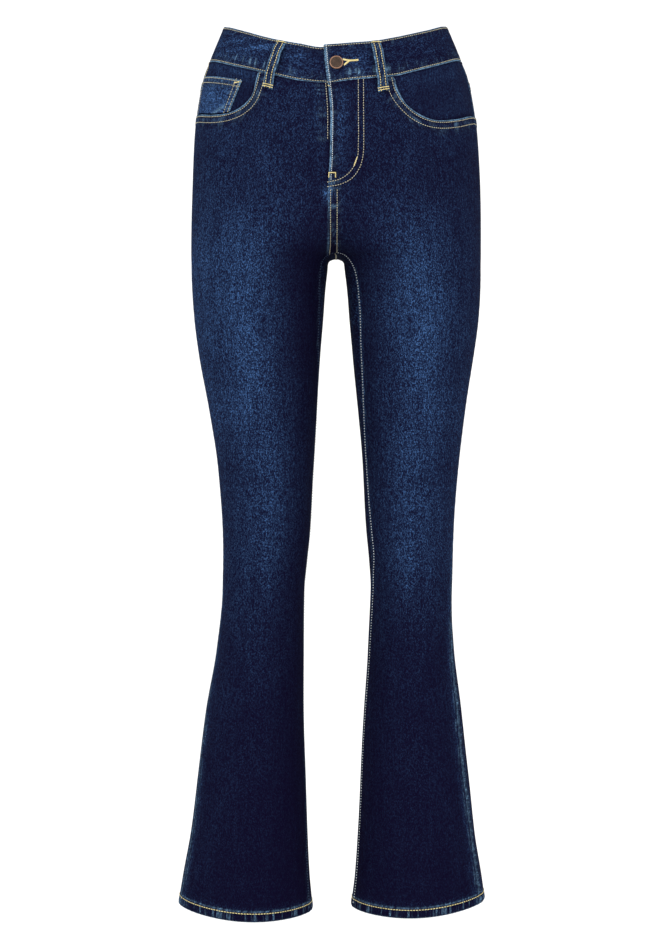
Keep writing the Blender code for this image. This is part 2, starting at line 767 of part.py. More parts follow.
def make_yokes(finish):
    rows = np.linspace(0, 1, PATCH_ROWS)
    for side, side_name in SIDE_NAMES.items():
        top, foot = along_waistband(side, yoke_angles(side)), yoke_seam(side)
        height = np.linspace(top[0, 2], foot[0, 2], len(rows))
        inner = back_point(0 * height, height)
        height = np.linspace(top[-1, 2], foot[-1, 2], len(rows))
        outer = around_leg(side, seam_angle(side, "outer", height), height)
        inner[0], inner[-1], outer[0], outer[-1] = top[0], foot[0], top[-1], foot[-1]
        grid = fill(side, top, foot, inner, outer, PANEL_COLUMNS, rows)
        grid = drawn_in(grid, HALF_GAP, HALF_GAP, HALF_GAP, HALF_GAP)
        layer(f"yoke_{side_name}", grid, 0.0, DENIM, finish)


def make_waistband(finish):
    """One strip all the way round. Its left end laps over its right end, which steps in behind it."""
    rows = np.linspace(0, 1, PATCH_ROWS)[:, None]
    strips = {}
    for side in (LEFT, RIGHT):
        angles = [front_angles(side), facing_angles(side)[1:], yoke_angles(side)[::-1][1:]]
        angles = np.concatenate(angles if side == LEFT else [UNDER_END_ANGLES, *angles])
        lean = np.zeros(len(angles))
        if side == LEFT:
            lean[:3] = -OVER_END_LEAN, -OVER_END_LEAN / 2, -OVER_END_LEAN / 4
            angles[0] += OVER_END_GAP
        top, foot = waist_height(side, angles), band_foot_height(side, angles) + HALF_GAP
        grid = around_leg(side, angles + lean * (1 - rows), top + (foot - top) * rows)
        under = smooth_step((STEP_IN_ANGLE - angles) / STEP_IN_TURN) * (side == RIGHT)
        sunk = (BAND_WALL + LAYER_GAP) * under
        strips[side] = grid, sunk
    grid = np.concatenate([strips[LEFT][0], strips[RIGHT][0][:, ::-1][:, 1:]], axis=1)
    sunk = np.concatenate([strips[LEFT][1], strips[RIGHT][1][::-1][1:]])[None, :, None]
    way = normals(grid)
    outside = grid + (BAND_PROUD - sunk) * way
    wall("waistband", outside, outside - BAND_WALL * way, finish)


def make_pocket_facings(front_grids, finish):
    """The denim that shows inside each front pocket's mouth.

    Its foot lies behind the front, one row of the front's own points below the mouth.
    """
    for side, side_name in SIDE_NAMES.items():
        front = front_grids[side][:, PANEL_SPLIT - 1 :]
        top = np.concatenate([front[0, :1], along_waistband(side, facing_angles(side))])
        past_mouth = np.where(np.arange(len(top)) < 2, FACING_PAST_MOUTH, 0.0)[:, None]
        mouth = front[0] * (1 - past_mouth) + front[1] * past_mouth
        rows = np.linspace(0, 1, PATCH_ROWS)[:, None, None]
        grid = onto_surface(top[None] * (1 - rows) + mouth[None] * rows)
        height = grid[:, -1, 2]
        grid[:, -1] = around_leg(side, seam_angle(side, "outer", height), height)
        grid = np.concatenate([grid[:-1], mouth[None], front[1:2]])
        grid = drawn_in(grid, top=HALF_GAP, outer=HALF_GAP)
        layer(f"pocket_facing_{side_name}", grid, -FACING_DEPTH, POCKET_DENIM, finish)


def make_coin_pocket(finish):
    """The small patch inside the wearer's right pocket. It ends just above the front's edge."""
    mouth = pocket_line(RIGHT)
    mouth = mouth[mouth[:, 0] < -COIN_POCKET_FOOT_X]
    foot = spread(mouth, np.linspace(0, 1, 6)) + points(0, 0, COIN_POCKET_ABOVE_MOUTH)
    inner_top = front_point(-COIN_POCKET_TOP_X, COIN_POCKET_TOP)
    side_top = around_leg(RIGHT, seam_angle(RIGHT, "outer", COIN_POCKET_SIDE_TOP), COIN_POCKET_SIDE_TOP)
    across = np.linspace(0, 1, 6)[:, None]
    outward = points(-COIN_POCKET_OUTWARD, -COIN_POCKET_OUTWARD, 0) * across * (1 - across)
    top = onto_surface(inner_top * (1 - across) + side_top * across + outward)
    down = np.linspace(0, 1, PATCH_ROWS)[:, None, None]
    grid = onto_surface(top[None] * (1 - down) + foot[None] * down)
    height = grid[:, -1, 2]
    grid[:, -1] = around_leg(RIGHT, seam_angle(RIGHT, "outer", height), height)
    grid = drawn_in(grid, outer=HALF_GAP + COIN_POCKET_SIDE_GAP)
    lift = -FACING_DEPTH + PATCH_LIFT + COIN_POCKET_WALL
    layer("coin_pocket", grid, lift, COIN_POCKET_WALL, finish)


def back_at(side, from_seam, height):
    """The point of the back at a distance along the cloth from the centre back seam."""
    x = np.linspace(0, 165, 120)
    outline = back_point(side * x, np.full(x.shape, float(height)))
    length = np.concatenate([[0], np.cumsum(np.linalg.norm(np.diff(outline, axis=0), axis=1))])
    return back_point(side * np.interp(from_seam, length, x), height)


def make_back_pockets(finish):
    """A plain five-sided patch on each back, moved out from the form that the back lies on."""
    across, down = np.linspace(-1, 1, 13), np.linspace(0, 1, 12)
    for side, side_name in SIDE_NAMES.items():
        seam = yoke_seam(side)
        seam_fall = (seam[-1, 2] - seam[0, 2]) / abs(seam[-1, 0])
        grid = np.zeros((len(down), len(across), 3))
        for r, v in enumerate(down):
            half_width = (BACK_POCKET_WIDTH * (1 - v) + BACK_POCKET_FOOT_WIDTH * v) / 2
            for c, u in enumerate(across):
                from_seam = BACK_POCKET_CENTRE + u * half_width
                top = seam[0, 2] + seam_fall * from_seam - BACK_POCKET_BELOW_YOKE
                height = top - v * (BACK_POCKET_SIDE + BACK_POCKET_POINT * (1 - abs(u)))
                grid[r, c] = back_at(side, from_seam, height)
        layer(f"back_pocket_{side_name}", grid, BACK_POCKET_LIFT + POCKET_DENIM, POCKET_DENIM, finish)


def loop_grid(side, top_angle, foot_angle):
    """A belt loop's strip on the form, from the waistband's top edge to below its foot."""
    down = np.linspace(0, 1, 13)
    angle = top_angle + (foot_angle - top_angle) * down
    top = waist_height(side, angle) - LOOP_BELOW_TOP
    foot = band_foot_height(side, angle) - LOOP_BELOW_BAND
    middle = around_leg(side, angle, top + (foot - top) * down)
    along = np.gradient(middle, axis=0)
    across = np.cross(normals(middle), along)
    across /= np.linalg.norm(across, axis=-1, keepdims=True)
    return np.stack([middle - across * LOOP_WIDTH / 2, middle, middle + across * LOOP_WIDTH / 2], axis=1)


def make_belt_loops(finish):
    """Five loops, each bowed out from the waistband between its tacked ends so that a belt goes through."""
    for name, side, top_angle, foot_angle in BELT_LOOPS:
        grid = loop_grid(side, top_angle, foot_angle)
        grid = onto_surface(grid)
        down = np.linspace(0, 1, len(grid))
        bow = smooth_step(down / LOOP_RISE_SHARE) * smooth_step((1 - down) / LOOP_RISE_SHARE)
        seat = BAND_PROUD * (1 - down**2) + LOOP_SEAT
        lift = (seat + LOOP_BOW * bow)[:, None, None]
        way = normals(grid[:, 1:2])
        inside = grid + lift * way
        wall(name, inside + LOOP_WALL * way, inside, finish)


def make_fly(denim, metal):
    """What lies behind the fly: the zip's tape and chain as one plain strip, and the shield behind it."""
    top = fly_start(LEFT)[2] - SEAM_GAP
    down, across = np.linspace(0, 1, 9)[:, None], np.linspace(0, 1, 5)[None]
    edge = fly_line.read("x", top + (FLY_BOTTOM - top) * down)
    for name, start, width, foot, depth, thick, finish in (
        ("zip", ZIP_START, ZIP_WIDTH, ZIP_BOTTOM, ZIP_DEPTH, ZIP_WALL, metal),
        ("fly_shield", SHIELD_START, SHIELD_WIDTH, FLY_BOTTOM, SHIELD_DEPTH, DENIM, denim),
    ):
        grid = front_point(edge + start + width * across, top + (foot - top) * down)
        layer(name, grid, -depth, thick, finish)


def make_button(finish):
    """A turned button: a low dish with a raised rim, seated on the waistband."""
    seat = front_point(BUTTON_X, BUTTON_HEIGHT)
    out = normals(seat)
    right = np.cross(points(0, 0, 1), out)
    right /= np.linalg.norm(right)
    up = np.cross(out, right)
    profile = [(r * BUTTON_RADIUS, BAND_PROUD + LAYER_GAP + h) for r, h in BUTTON_PROFILE]
    turn = np.linspace(0, 2 * np.pi, BUTTON_SIDES + 1)[:-1, None]
    spokes = np.cos(turn) * right + np.sin(turn) * up
    rings = [seat + r * spokes + h * out for r, h in profile]
    verts = np.concatenate(rings + [(seat + profile[0][1] * out)[None], (seat + profile[-1][1] * out)[None]])
    count = BUTTON_SIDES
    quads, base = [], len(rings) * count
    for ring in range(len(rings) - 1):
        for i in range(count):
            j = (i + 1) % count
            quads.append((ring * count + i, ring * count + j, (ring + 1) * count + j, (ring + 1) * count + i))
    last = (len(rings) - 1) * count
    quads += [(base, (i + 1) % count, i) for i in range(count)]
    quads += [(base + 1, last + i, last + (i + 1) % count) for i in range(count)]
    add_mesh("button", verts, quads, finish, 30)


def main():
    clear_scene()
    denim = material("denim", DENIM_COLOUR, 0.85)
    facing = material("pocket_denim", FACING_COLOUR, 0.88)
    copper = material("antique_copper", BUTTON_COLOUR, 0.42, 1.0)
    metal = material("zip_metal", ZIP_COLOUR, 0.4, 1.0)
    grids = {(side, face): leg_panel(side, face) for side in SIDE_NAMES for face in ("front", "back")}
    make_leg_panels(grids, denim)
    make_yokes(denim)
    make_waistband(denim)
    make_pocket_facings({side: grids[side, "front"] for side in SIDE_NAMES}, facing)
    make_coin_pocket(denim)
    make_back_pockets(denim)
    make_belt_loops(denim)
    make_fly(denim, metal)
    make_button(copper)


if __name__ == "__main__":
    main()
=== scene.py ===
"""Dresses the bootcut jeans' solids: denim with its weave, fades and wear, the seams' ridges and creases,
every row of stitching, the zip, the button and its buttonhole.

+Z is up, the front faces -Y and +X is the wearer's left. Sizes and places are in millimetres, and each mesh
is made in metres. Every piece of cloth lies on the same smooth form as its solid, so the tables that give
that form are the solids' own.
"""

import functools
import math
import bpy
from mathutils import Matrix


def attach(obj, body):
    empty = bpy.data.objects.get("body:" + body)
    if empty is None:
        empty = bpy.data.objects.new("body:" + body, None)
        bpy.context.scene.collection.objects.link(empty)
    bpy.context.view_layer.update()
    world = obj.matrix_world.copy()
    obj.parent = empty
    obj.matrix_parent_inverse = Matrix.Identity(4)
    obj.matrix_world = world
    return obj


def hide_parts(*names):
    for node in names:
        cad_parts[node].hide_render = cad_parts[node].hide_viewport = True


bl_info = {
    "name": "Bootcut Jeans",
    "version": (1, 0, 0),
    "blender": (4, 5, 0),
    "location": "View3D > Sidebar > Jeans",
    "description": "Dresses the jeans' solids in denim, stitching and metal",
    "category": "Object",
}

import bpy
import numpy as np
from mathutils import Vector, kdtree

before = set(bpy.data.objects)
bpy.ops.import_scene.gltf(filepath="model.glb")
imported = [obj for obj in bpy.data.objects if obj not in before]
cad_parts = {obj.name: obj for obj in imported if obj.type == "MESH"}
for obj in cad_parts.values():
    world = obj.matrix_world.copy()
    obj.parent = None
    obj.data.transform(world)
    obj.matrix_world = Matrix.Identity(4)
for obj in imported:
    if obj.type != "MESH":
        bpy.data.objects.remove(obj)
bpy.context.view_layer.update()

MM = 0.001
LEFT, RIGHT = 1, -1
SIDE_NAMES = {LEFT: "left", RIGHT: "right"}

# Level sections of one leg, from the waist to the hem.
# outer, inner: how far its two sides lie from the middle of the pair. A negative inner side lies past it.
# front, back: y of its front and back. mid: y where it is widest. square: 2 is an ellipse, more is fuller.
# blend: how softly the two legs run into each other. sway: how far the pair leans to +X at that height.
FORM_COLUMNS = ("height", "outer", "inner", "front", "back", "mid", "square", "blend", "sway")
FORM = (
    (40, 122.5, -122.5, -86, 94, 4, 2.2, 0.2, 0.0),
    (20, 130.3, -130.3, -92, 99, 4, 2.2, 0.2, 0.0),
    (5, 136.2, -136.2, -97, 102, 4, 2.2, 0.2, 0.0),
    (-20, 146.6, -146.6, -102, 107, 4, 2.2, 0.3, 0.0),
    (-45, 156.2, -156.2, -107, 113, 5, 2.2, 0.6, 0.0),
    (-70, 161.7, -159.7, -111, 119, 6, 2.2, 1.5, 0.2),
    (-110, 167.4, -150, -114, 129, 8, 2.2, 6, 0.6),
    (-160, 170.2, -118, -113, 137, 8, 2.2, 15, 0.8),
    (-205, 171.4, -75, -107, 137, 8, 2.2, 19, 0.9),
    (-235, 171.6, -38, -101, 130, 8, 2.2, 15, 0.9),
    (-250, 171.6, -15, -98, 124, 8, 2.15, 10, 0.9),
    (-256, 171.5, -3, -97, 121, 8, 2.15, 8, 0.9),
    (-260, 171.4, 5, -96, 119, 8, 2.1, 7, 0.9),
    (-264, 171.3, 8.3, -95.5, 117, 8, 2.1, 7, 0.9),
    (-275, 171.2, 10.8, -94, 112, 8, 2.1, 7, 0.9),
    (-293, 170.6, 13.0, -91, 105, 8, 2.1, 7, 0.9),
    (-328, 167.9, 15.5, -86, 95, 6, 2.1, 7, 0.9),
    (-364, 163.1, 18.7, -82, 88, 5, 2.1, 7, 1.0),
    (-435, 151.4, 24.7, -74, 76, 2, 2.05, 7, 2.0),
    (-506, 141.6, 29.4, -67, 65, 0, 2.05, 7, 3.1),
    (-577, 136.7, 33.3, -61, 56, -2, 2.0, 7, 3.0),
    (-613, 135.7, 36.7, -58, 54, -2, 2.0, 7, 2.7),
    (-648, 135.5, 39.2, -57, 55, -1, 2.0, 7, 2.1),
    (-719, 140.8, 38.2, -56, 60, 2, 2.0, 7, 0.0),
    (-790, 151.1, 35.8, -57, 64, 3, 2.0, 7, -2.0),
    (-861, 159.6, 33.0, -59, 66, 3, 2.0, 7, -2.7),
    (-933, 167.8, 29.7, -62, 67, 2, 2.0, 7, -3.3),
    (-986, 177.2, 26.6, -64, 68, 2, 2.0, 7, -4.0),
    (-1015, 181.4, 23.4, -65, 69, 2, 2.0, 7, -4.6),
    (-1040, 184.0, 21.0, -66, 70, 2, 2.0, 7, -5.0),
)

# How far each seam leads towards the front, in degrees round its leg, from its widest line. The outer seams
# run from the waist to the hem, and the inner seams from the crotch to the hem.
SEAM_COLUMNS = ("height", "left_outer", "left_inner", "right_outer", "right_inner")
SEAMS = (
    (30, 5, 34, 5, 32),
    (-120, 5, 34, 5, 32),
    (-262, 4, 35, 2, 32),
    (-284, 4, 38, 1, 31),
    (-316, 4, 38, 0, 27),
    (-356, 3, 35, 0, 22),
    (-393, 3, 33, 0, 12),
    (-440, 3, 29, 0, 5),
    (-495, 3, 25, 0, 2),
    (-540, 4, 26, 0, 0),
    (-592, 6, 27, 1, 0),
    (-640, 12, 14, 3, 1),
    (-735, 26, 8, 8, 2),
    (-836, 28, 5, 15, 6),
    (-939, 22, 5, 15, 10),
    (-1040, 21, 6, 12, 14),
)

# The waistband's top edge and its foot: heights by the angle round each leg. -90 is its front, 90 its back.
BAND_COLUMNS = ("angle", "left", "right")
WAIST_TOP = (
    (-104, -22.8, -24.6),
    (-96, -22.3, -24.5),
    (-81, -19.9, -24.0),
    (-67.6, -17.3, -20.2),
    (-54.2, -11.5, -14.1),
    (-47.5, -7.6, -9.9),
    (-35.4, 0.2, -0.9),
    (-17, 12.3, 11.4),
    (0, 18.0, 18.0),
    (25, 16.7, 16.7),
    (46, 14.4, 14.4),
    (65, 12.7, 12.7),
    (90, 12.0, 12.0),
)
BAND_FOOT = (
    (-104, -67.9, -67.6),
    (-94, -67.4, -67.3),
    (-85.6, -65.2, -67.0),
    (-70, -61.4, -64.2),
    (-57.8, -58.0, -57.6),
    (-48.7, -52.0, -51.7),
    (-36, -42.7, -43.0),
    (-15, -28.0, -29.0),
    (0, -24.0, -24.0),
    (25, -24.8, -24.8),
    (46, -26.6, -26.6),
    (65, -28.4, -28.4),
    (90, -29.5, -29.5),
)
SIDE_SEAM_HEIGHT = -20.0

# The waistband's ends, in degrees round the leg: how far the over end's top leans to the wearer's right, the
# angles that the under end adds, where that end starts to step in, and over how many degrees it does.
OVER_END_LEAN = 2.5
UNDER_END_ANGLES = (-104.0, -100.0, -95.0, -89.0)
STEP_IN_ANGLE = -66.0
STEP_IN_TURN = 14.0

# The hem of each leg: its height at the side, and how it falls to the inside, the front and the back.
HEM_LEVEL = -1018.5
HEM_TILT = 4.0
HEM_FRONT_FALL = 7.0
HEM_BACK_FALL = 2.5
HEM_LEG_LIFT = 2.2

# The crotch seams. The front one lies a little to the wearer's right, as the fly does.
FLY_LINE_COLUMNS = ("height", "x")
FLY_LINE = (
    (0, -10.2),
    (-66, -9.4),
    (-88, -6.6),
    (-127, -6.7),
    (-166, -7.5),
    (-185, -9.0),
    (-232, -6.9),
    (-247, -5.5),
    (-256, 0.0),
    (-300, 0.0),
)
TURN_HEIGHT = -205.0
TURN_Y = 8.0
CROTCH_POINT_Y = -27.0

# The fly.
FLY_BOTTOM = -177.0
ZIP_START = -7.0
ZIP_WIDTH = 24.0
ZIP_BOTTOM = FLY_BOTTOM + 6.0
ZIP_DEPTH = 2.5
ZIP_TAPE_WALL = 0.7
SHIELD_START = -12.0
SHIELD_WIDTH = 42.0
SHIELD_DEPTH = 3.9

# Front pockets, from the waistband to the side seam, seen from the front: distance from the middle, height.
LEFT_POCKET = (
    (64.6, -57.0),
    (69.8, -76.0),
    (82.3, -92.6),
    (98.6, -103.2),
    (117.5, -106.2),
    (140.5, -101.2),
    (163.0, -90.5),
)
RIGHT_POCKET = (
    (88.2, -52.5),
    (92.6, -70.0),
    (98.4, -83.5),
    (109.8, -92.8),
    (127.0, -96.8),
    (146.0, -94.9),
    (163.0, -88.5),
)
POCKET_POINTS = 60

# The yokes and the back pockets.
YOKE_SIDE_DEPTH = 34.0
YOKE_CENTRE_DEPTH = 74.0
BACK_POCKET_WIDTH = 128.0
BACK_POCKET_FOOT_WIDTH = 112.0
BACK_POCKET_SIDE = 108.0
BACK_POCKET_POINT = 17.0
BACK_POCKET_CENTRE = 80.0
BACK_POCKET_BELOW_YOKE = 26.0

# Belt loops.
LOOP_WIDTH = 11.6
LOOP_WALL = 1.6
LOOP_BOW = 4.9
LOOP_SEAT = 0.4
LOOP_BELOW_TOP = 1.5
LOOP_BELOW_BAND = 16.5
LOOP_RISE_SHARE = 0.27

# The button.
BUTTON_X = 0.5
BUTTON_HEIGHT = -44.6
BUTTON_RADIUS = 8.1

# The coin pocket, inside the wearer's right pocket.
COIN_POCKET_TOP = -59.9
COIN_POCKET_TOP_X = 108.0
COIN_POCKET_SIDE_TOP = -42.0
COIN_POCKET_FOOT_X = 122.5
COIN_POCKET_ABOVE_MOUTH = 2.2
COIN_POCKET_OUTWARD = 10.0

# Belt loops: name, side, and the angle round the waist of the top and of the foot.
BELT_LOOPS = (
    ("belt_loop_front_left", LEFT, -66.3, -65.3),
    ("belt_loop_front_right", RIGHT, -57.9, -54.2),
    ("belt_loop_back_left", LEFT, 46.0, 46.0),
    ("belt_loop_back_right", RIGHT, 46.0, 46.0),
    ("belt_loop_centre_back", LEFT, 90.0, 90.0),
)

# The grids of points. A panel's columns run from its crotch seam to its outer seam, and the front pocket's
# corner falls on column PANEL_SPLIT. Row steps: how many, and the size of the first and the last.
PANEL_COLUMNS = np.array([0, 0.045, 0.1, 0.17, 0.25, 0.335, 0.425, 0.52, 0.615, 0.71, 0.805, 0.9, 1.0])
PANEL_SPLIT = 7
RISE_ROWS = (11, 1.4, 0.6)
LEG_ROWS = (29, 0.28, 1.15)
FACING_STEPS = len(PANEL_COLUMNS) - 1 - PANEL_SPLIT

# How the grid is evened out close to the crotch: rounds, share of each move, and how far from the crotch.
SETTLE_STEPS = 24
SETTLE_SHARE = 0.6
SETTLE_REACH = 95.0
SETTLE_FALL = 60.0


def steady_slopes(at, values):
    """The slope at each row of a table, so that the curve through it never overshoots a row."""
    step = np.diff(at)
    rise = np.diff(values) / step
    slopes = np.zeros(len(at))
    same_way = rise[:-1] * rise[1:] > 0
    weight_a = 2 * step[1:] + step[:-1]
    weight_b = step[1:] + 2 * step[:-1]
    safe = np.where(same_way, rise[:-1], 1.0), np.where(same_way, rise[1:], 1.0)
    harmonic = (weight_a + weight_b) / (weight_a / safe[0] + weight_b / safe[1])
    slopes[1:-1] = np.where(same_way, harmonic, 0.0)
    slopes[0], slopes[-1] = rise[0], rise[-1]
    return slopes


class Table:
    """A short table with named columns, read at any place along a smooth curve through its rows."""

    def __init__(self, columns, rows):
        data = np.array(sorted(rows), float)
        self.at = data[:, 0]
        self.curves = {
            name: (data[:, i], steady_slopes(self.at, data[:, i])) for i, name in enumerate(columns) if i
        }

    def read(self, name, place):
        return self.read_several((name,), place)[0]

    def read_several(self, names, place):
        place = np.clip(place, self.at[0], self.at[-1])
        row = np.clip(np.searchsorted(self.at, place) - 1, 0, len(self.at) - 2)
        step = self.at[row + 1] - self.at[row]
        t = (place - self.at[row]) / step
        rest = 1 - t
        before, after = (1 + 2 * t) * rest * rest, t * t * (3 - 2 * t)
        leaving, arriving = t * rest * rest * step, -t * t * rest * step
        return [
            before * values[row] + leaving * slopes[row]
            + after * values[row + 1] + arriving * slopes[row + 1]
            for values, slopes in (self.curves[name] for name in names)
        ]


form = Table(FORM_COLUMNS, FORM)
seams = Table(SEAM_COLUMNS, SEAMS)
fly_line = Table(FLY_LINE_COLUMNS, FLY_LINE)
waist_top = Table(BAND_COLUMNS, WAIST_TOP)
band_foot = Table(BAND_COLUMNS, BAND_FOOT)


def points(x, y, z):
    x, y, z = np.broadcast_arrays(*(np.asarray(c, float) for c in (x, y, z)))
    return np.stack([x, y, z], axis=-1)


def leg_middle(height):
    return (form.read("outer", height) + form.read("inner", height)) / 2


def leg_distance(side, p, at_height):
    """Roughly how far a point is outside one leg's tube, in millimetres."""
    outer, inner, front, back, mid, square, _, sway = at_height
    across = side * (p[..., 0] - sway) - (outer + inner) / 2
    along = p[..., 1] - mid
    reach = np.where(along < 0, mid - front, back - mid)
    size = (np.abs(across * 2 / (outer - inner)) ** square + np.abs(along / reach) ** square) ** (1 / square)
    size = np.maximum(size, 1e-6)
    return np.hypot(across, along) * (1 - 1 / size)


def distance(p):
    """The same for the whole form: the two legs, run softly into each other."""
    at_height = form.read_several(FORM_COLUMNS[1:], p[..., 2])
    blend = at_height[6]
    left, right = leg_distance(LEFT, p, at_height), leg_distance(RIGHT, p, at_height)
    near = np.maximum(blend - np.abs(left - right), 0) / blend
    return np.minimum(left, right) - near**2 * blend / 4


def slope_of_distance(p):
    h = 0.05
    steps = np.eye(3) * h
    return np.stack([(distance(p + s) - distance(p - s)) / (2 * h) for s in steps], axis=-1)


def normals(p):
    slope = slope_of_distance(p)
    return slope / np.linalg.norm(slope, axis=-1, keepdims=True)


def onto_surface(p, steps=6):
    """Points near the form, moved onto it."""
    for _ in range(steps):
        slope = slope_of_distance(p)
        steep = np.maximum((slope**2).sum(axis=-1), 0.2)
        move = np.clip(distance(p) / steep, -6, 6)
        p = p - move[..., None] * slope
    return p


def cast(start, direction, reach=320.0):
    """Where rays that start inside the form leave it."""
    low = np.zeros(start.shape[:-1])
    high = np.full(start.shape[:-1], reach)
    for _ in range(32):
        middle = (low + high) / 2
        inside = distance(start + middle[..., None] * direction) < 0
        low, high = np.where(inside, middle, low), np.where(inside, high, middle)
    return start + low[..., None] * direction


def around_leg(side, angle, height):
    """The point of one leg at an angle round it: 0 is its outer side, -90 its front, 90 its back."""
    angle, height = np.broadcast_arrays(np.radians(angle), np.asarray(height, float))
    start = points(form.read("sway", height) + side * leg_middle(height), form.read("mid", height), height)
    return cast(start, points(side * np.cos(angle), np.sin(angle), 0 * angle), 200.0)


def angle_round_leg(side, p):
    height = p[..., 2]
    across = side * (p[..., 0] - form.read("sway", height)) - leg_middle(height)
    return np.degrees(np.arctan2(p[..., 1] - form.read("mid", height), across))


def seen_point(x, height, ahead):
    """The point of the form at an x and a height, as seen from the front or from the back."""
    x, height = np.broadcast_arrays(np.asarray(x, float), np.asarray(height, float))
    start = points(x, form.read("mid", height), height)
    return cast(start, points(0 * x, (-1.0 if ahead else 1.0) + 0 * x, 0 * x))


def front_point(x, height):
    return seen_point(x, height, ahead=True)


def back_point(x, height):
    return seen_point(x, height, ahead=False)


def way_along_line(line):
    """How far along a polyline each of its points is."""
    return np.concatenate([[0], np.cumsum(np.linalg.norm(np.diff(line, axis=0), axis=1))])


def spread(p, fractions):
    """Points at these fractions of the length of a polyline."""
    length = way_along_line(p)
    at = np.asarray(fractions) * length[-1]
    return np.stack([np.interp(at, length, p[:, i]) for i in range(3)], axis=-1)


def smooth_step(t):
    t = np.clip(t, 0, 1)
    return t * t * (3 - 2 * t)


# Heights round the waist and the hem.
def waist_height(side, angle):
    return waist_top.read(SIDE_NAMES[side], angle)


def band_foot_height(side, angle):
    return band_foot.read(SIDE_NAMES[side], angle)


def hem_height(side, angle):
    turn = np.radians(angle)
    even = (HEM_FRONT_FALL + HEM_BACK_FALL) / 2
    lean = (HEM_FRONT_FALL - HEM_BACK_FALL) / 2
    fall = even * np.sin(turn) ** 2 - lean * np.sin(turn)
    return HEM_LEVEL + side * HEM_LEG_LIFT + HEM_TILT * np.cos(turn) - fall


def seam_angle(side, which, height):
    lead = seams.read(f"{SIDE_NAMES[side]}_{which}", height)
    return -lead if which == "outer" else 180 + lead


def side_seam_point(side, height):
    return around_leg(side, seam_angle(side, "outer", height), height)


def outer_seam(side, top, fractions, foot):
    """The outer seam from one height down to another."""
    return spread(side_seam_point(side, np.linspace(top, foot, 240)), fractions)


def front_rise(top):
    """The centre front seam, from a height down and under to the point where the four legs of cloth meet."""
    height = np.linspace(top, TURN_HEIGHT, 40)
    upright = front_point(fly_line.read("x", height), height)
    turn = np.radians(np.linspace(180, 270, 60))[1:]
    hub = points(fly_line.read("x", TURN_HEIGHT), TURN_Y, np.full(turn.shape, TURN_HEIGHT))
    under = cast(hub, points(0 * turn, np.cos(turn), np.sin(turn)))
    under[:, 0] = fly_line.read("x", under[:, 2])
    under = onto_line(under)
    line = np.concatenate([upright, under])
    return cut_at_crotch_point(line, ahead=True)


def onto_line(p):
    """Points moved onto the form without leaving their x."""
    for _ in range(8):
        slope = slope_of_distance(p)
        slope[..., 0] = 0
        steep = np.maximum((slope**2).sum(axis=-1), 0.2)
        p = p - (np.clip(distance(p) / steep, -4, 4))[..., None] * slope
    return p


def cut_at_crotch_point(line, ahead):
    """The part of a centre seam before the crotch point, with that point at its end."""
    kept = line[line[:, 1] < CROTCH_POINT_Y - 1] if ahead else line[line[:, 1] > CROTCH_POINT_Y + 1]
    return np.concatenate([kept, crotch_point()[None]])


@functools.cache
def crotch_point():
    hub = points(0.0, CROTCH_POINT_Y, TURN_HEIGHT)
    return cast(hub[None], points(0.0, 0.0, -1.0)[None])[0]


def back_rise(top):
    """The centre back seam, from a height down and under to the same point."""
    height = np.linspace(top, TURN_HEIGHT, 40)
    upright = back_point(0 * height, height)
    turn = np.radians(np.linspace(0, -140, 90))[1:]
    hub = points(0 * turn, TURN_Y, np.full(turn.shape, TURN_HEIGHT))
    under = cast(hub, points(0 * turn, np.cos(turn), np.sin(turn)))
    return cut_at_crotch_point(np.concatenate([upright, under]), ahead=False)


def inner_seam(side, foot):
    """An inner seam, from the crotch point to a height."""
    start = crotch_point()
    height = np.linspace(start[2] - 9, foot, 220)
    leg = around_leg(side, seam_angle(side, "inner", height), height)
    over = start + (leg[0] - start) * np.linspace(0, 1, 9)[:-1, None]
    over[1:] = onto_surface(over[1:] + points(0, 0, -1.5))
    return np.concatenate([over, leg])


def graded(count, first, last):
    """Fractions from 0 to 1 whose steps grow evenly from one size to the other."""
    steps = np.linspace(first, last, count)
    return np.concatenate([[0], np.cumsum(steps) / steps.sum()])


def fill(side, top, foot, inner, outer, columns, rows):
    """A grid of points on the form between four lines. Row 0 is the top line, column 0 the inner line.

    The lines are read as an angle round the leg and a height, filled in between, and put back on the form.
    """
    inner_end = "front" if inner[0, 1] < outer[0, 1] else "back"

    def flat(line):
        angle = angle_round_leg(side, line)
        angle = np.where(angle < -120, angle + 360, angle) if inner_end == "back" else angle
        angle = np.where(angle > 120, angle - 360, angle) if inner_end == "front" else angle
        return np.stack([angle, line[:, 2]], axis=-1)

    t, f, i, o = (flat(line) for line in (top, foot, inner, outer))
    u, v = columns[None, :, None], rows[:, None, None]
    grid = (
        (1 - v) * t[None] + v * f[None] + (1 - u) * i[:, None] + u * o[:, None]
        - (1 - v) * ((1 - u) * t[0] + u * t[-1]) - v * ((1 - u) * f[0] + u * f[-1])
    )
    angle, height = np.radians(grid[..., 0]), grid[..., 1]
    guess = superellipse_point(side, angle, height)
    limit = np.minimum(fly_line.read("x", height) * side, 0) + 0.4
    guess[..., 0] = side * np.maximum(side * guess[..., 0], limit)
    p = onto_surface(guess)
    p[0], p[-1], p[:, 0], p[:, -1] = top, foot, inner, outer
    return settle(p)


def superellipse_point(side, angle, height):
    outer, inner = form.read("outer", height), form.read("inner", height)
    front, back, mid = (form.read(name, height) for name in ("front", "back", "mid"))
    square = form.read("square", height)
    reach = np.where(np.sin(angle) < 0, mid - front, back - mid)
    across, along = np.cos(angle) * 2 / (outer - inner), np.sin(angle) / reach
    size = (np.abs(across) ** square + np.abs(along) ** square) ** (1 / square)
    x = form.read("sway", height) + side * ((outer + inner) / 2 + np.cos(angle) / size)
    return points(x, mid + np.sin(angle) / size, height)


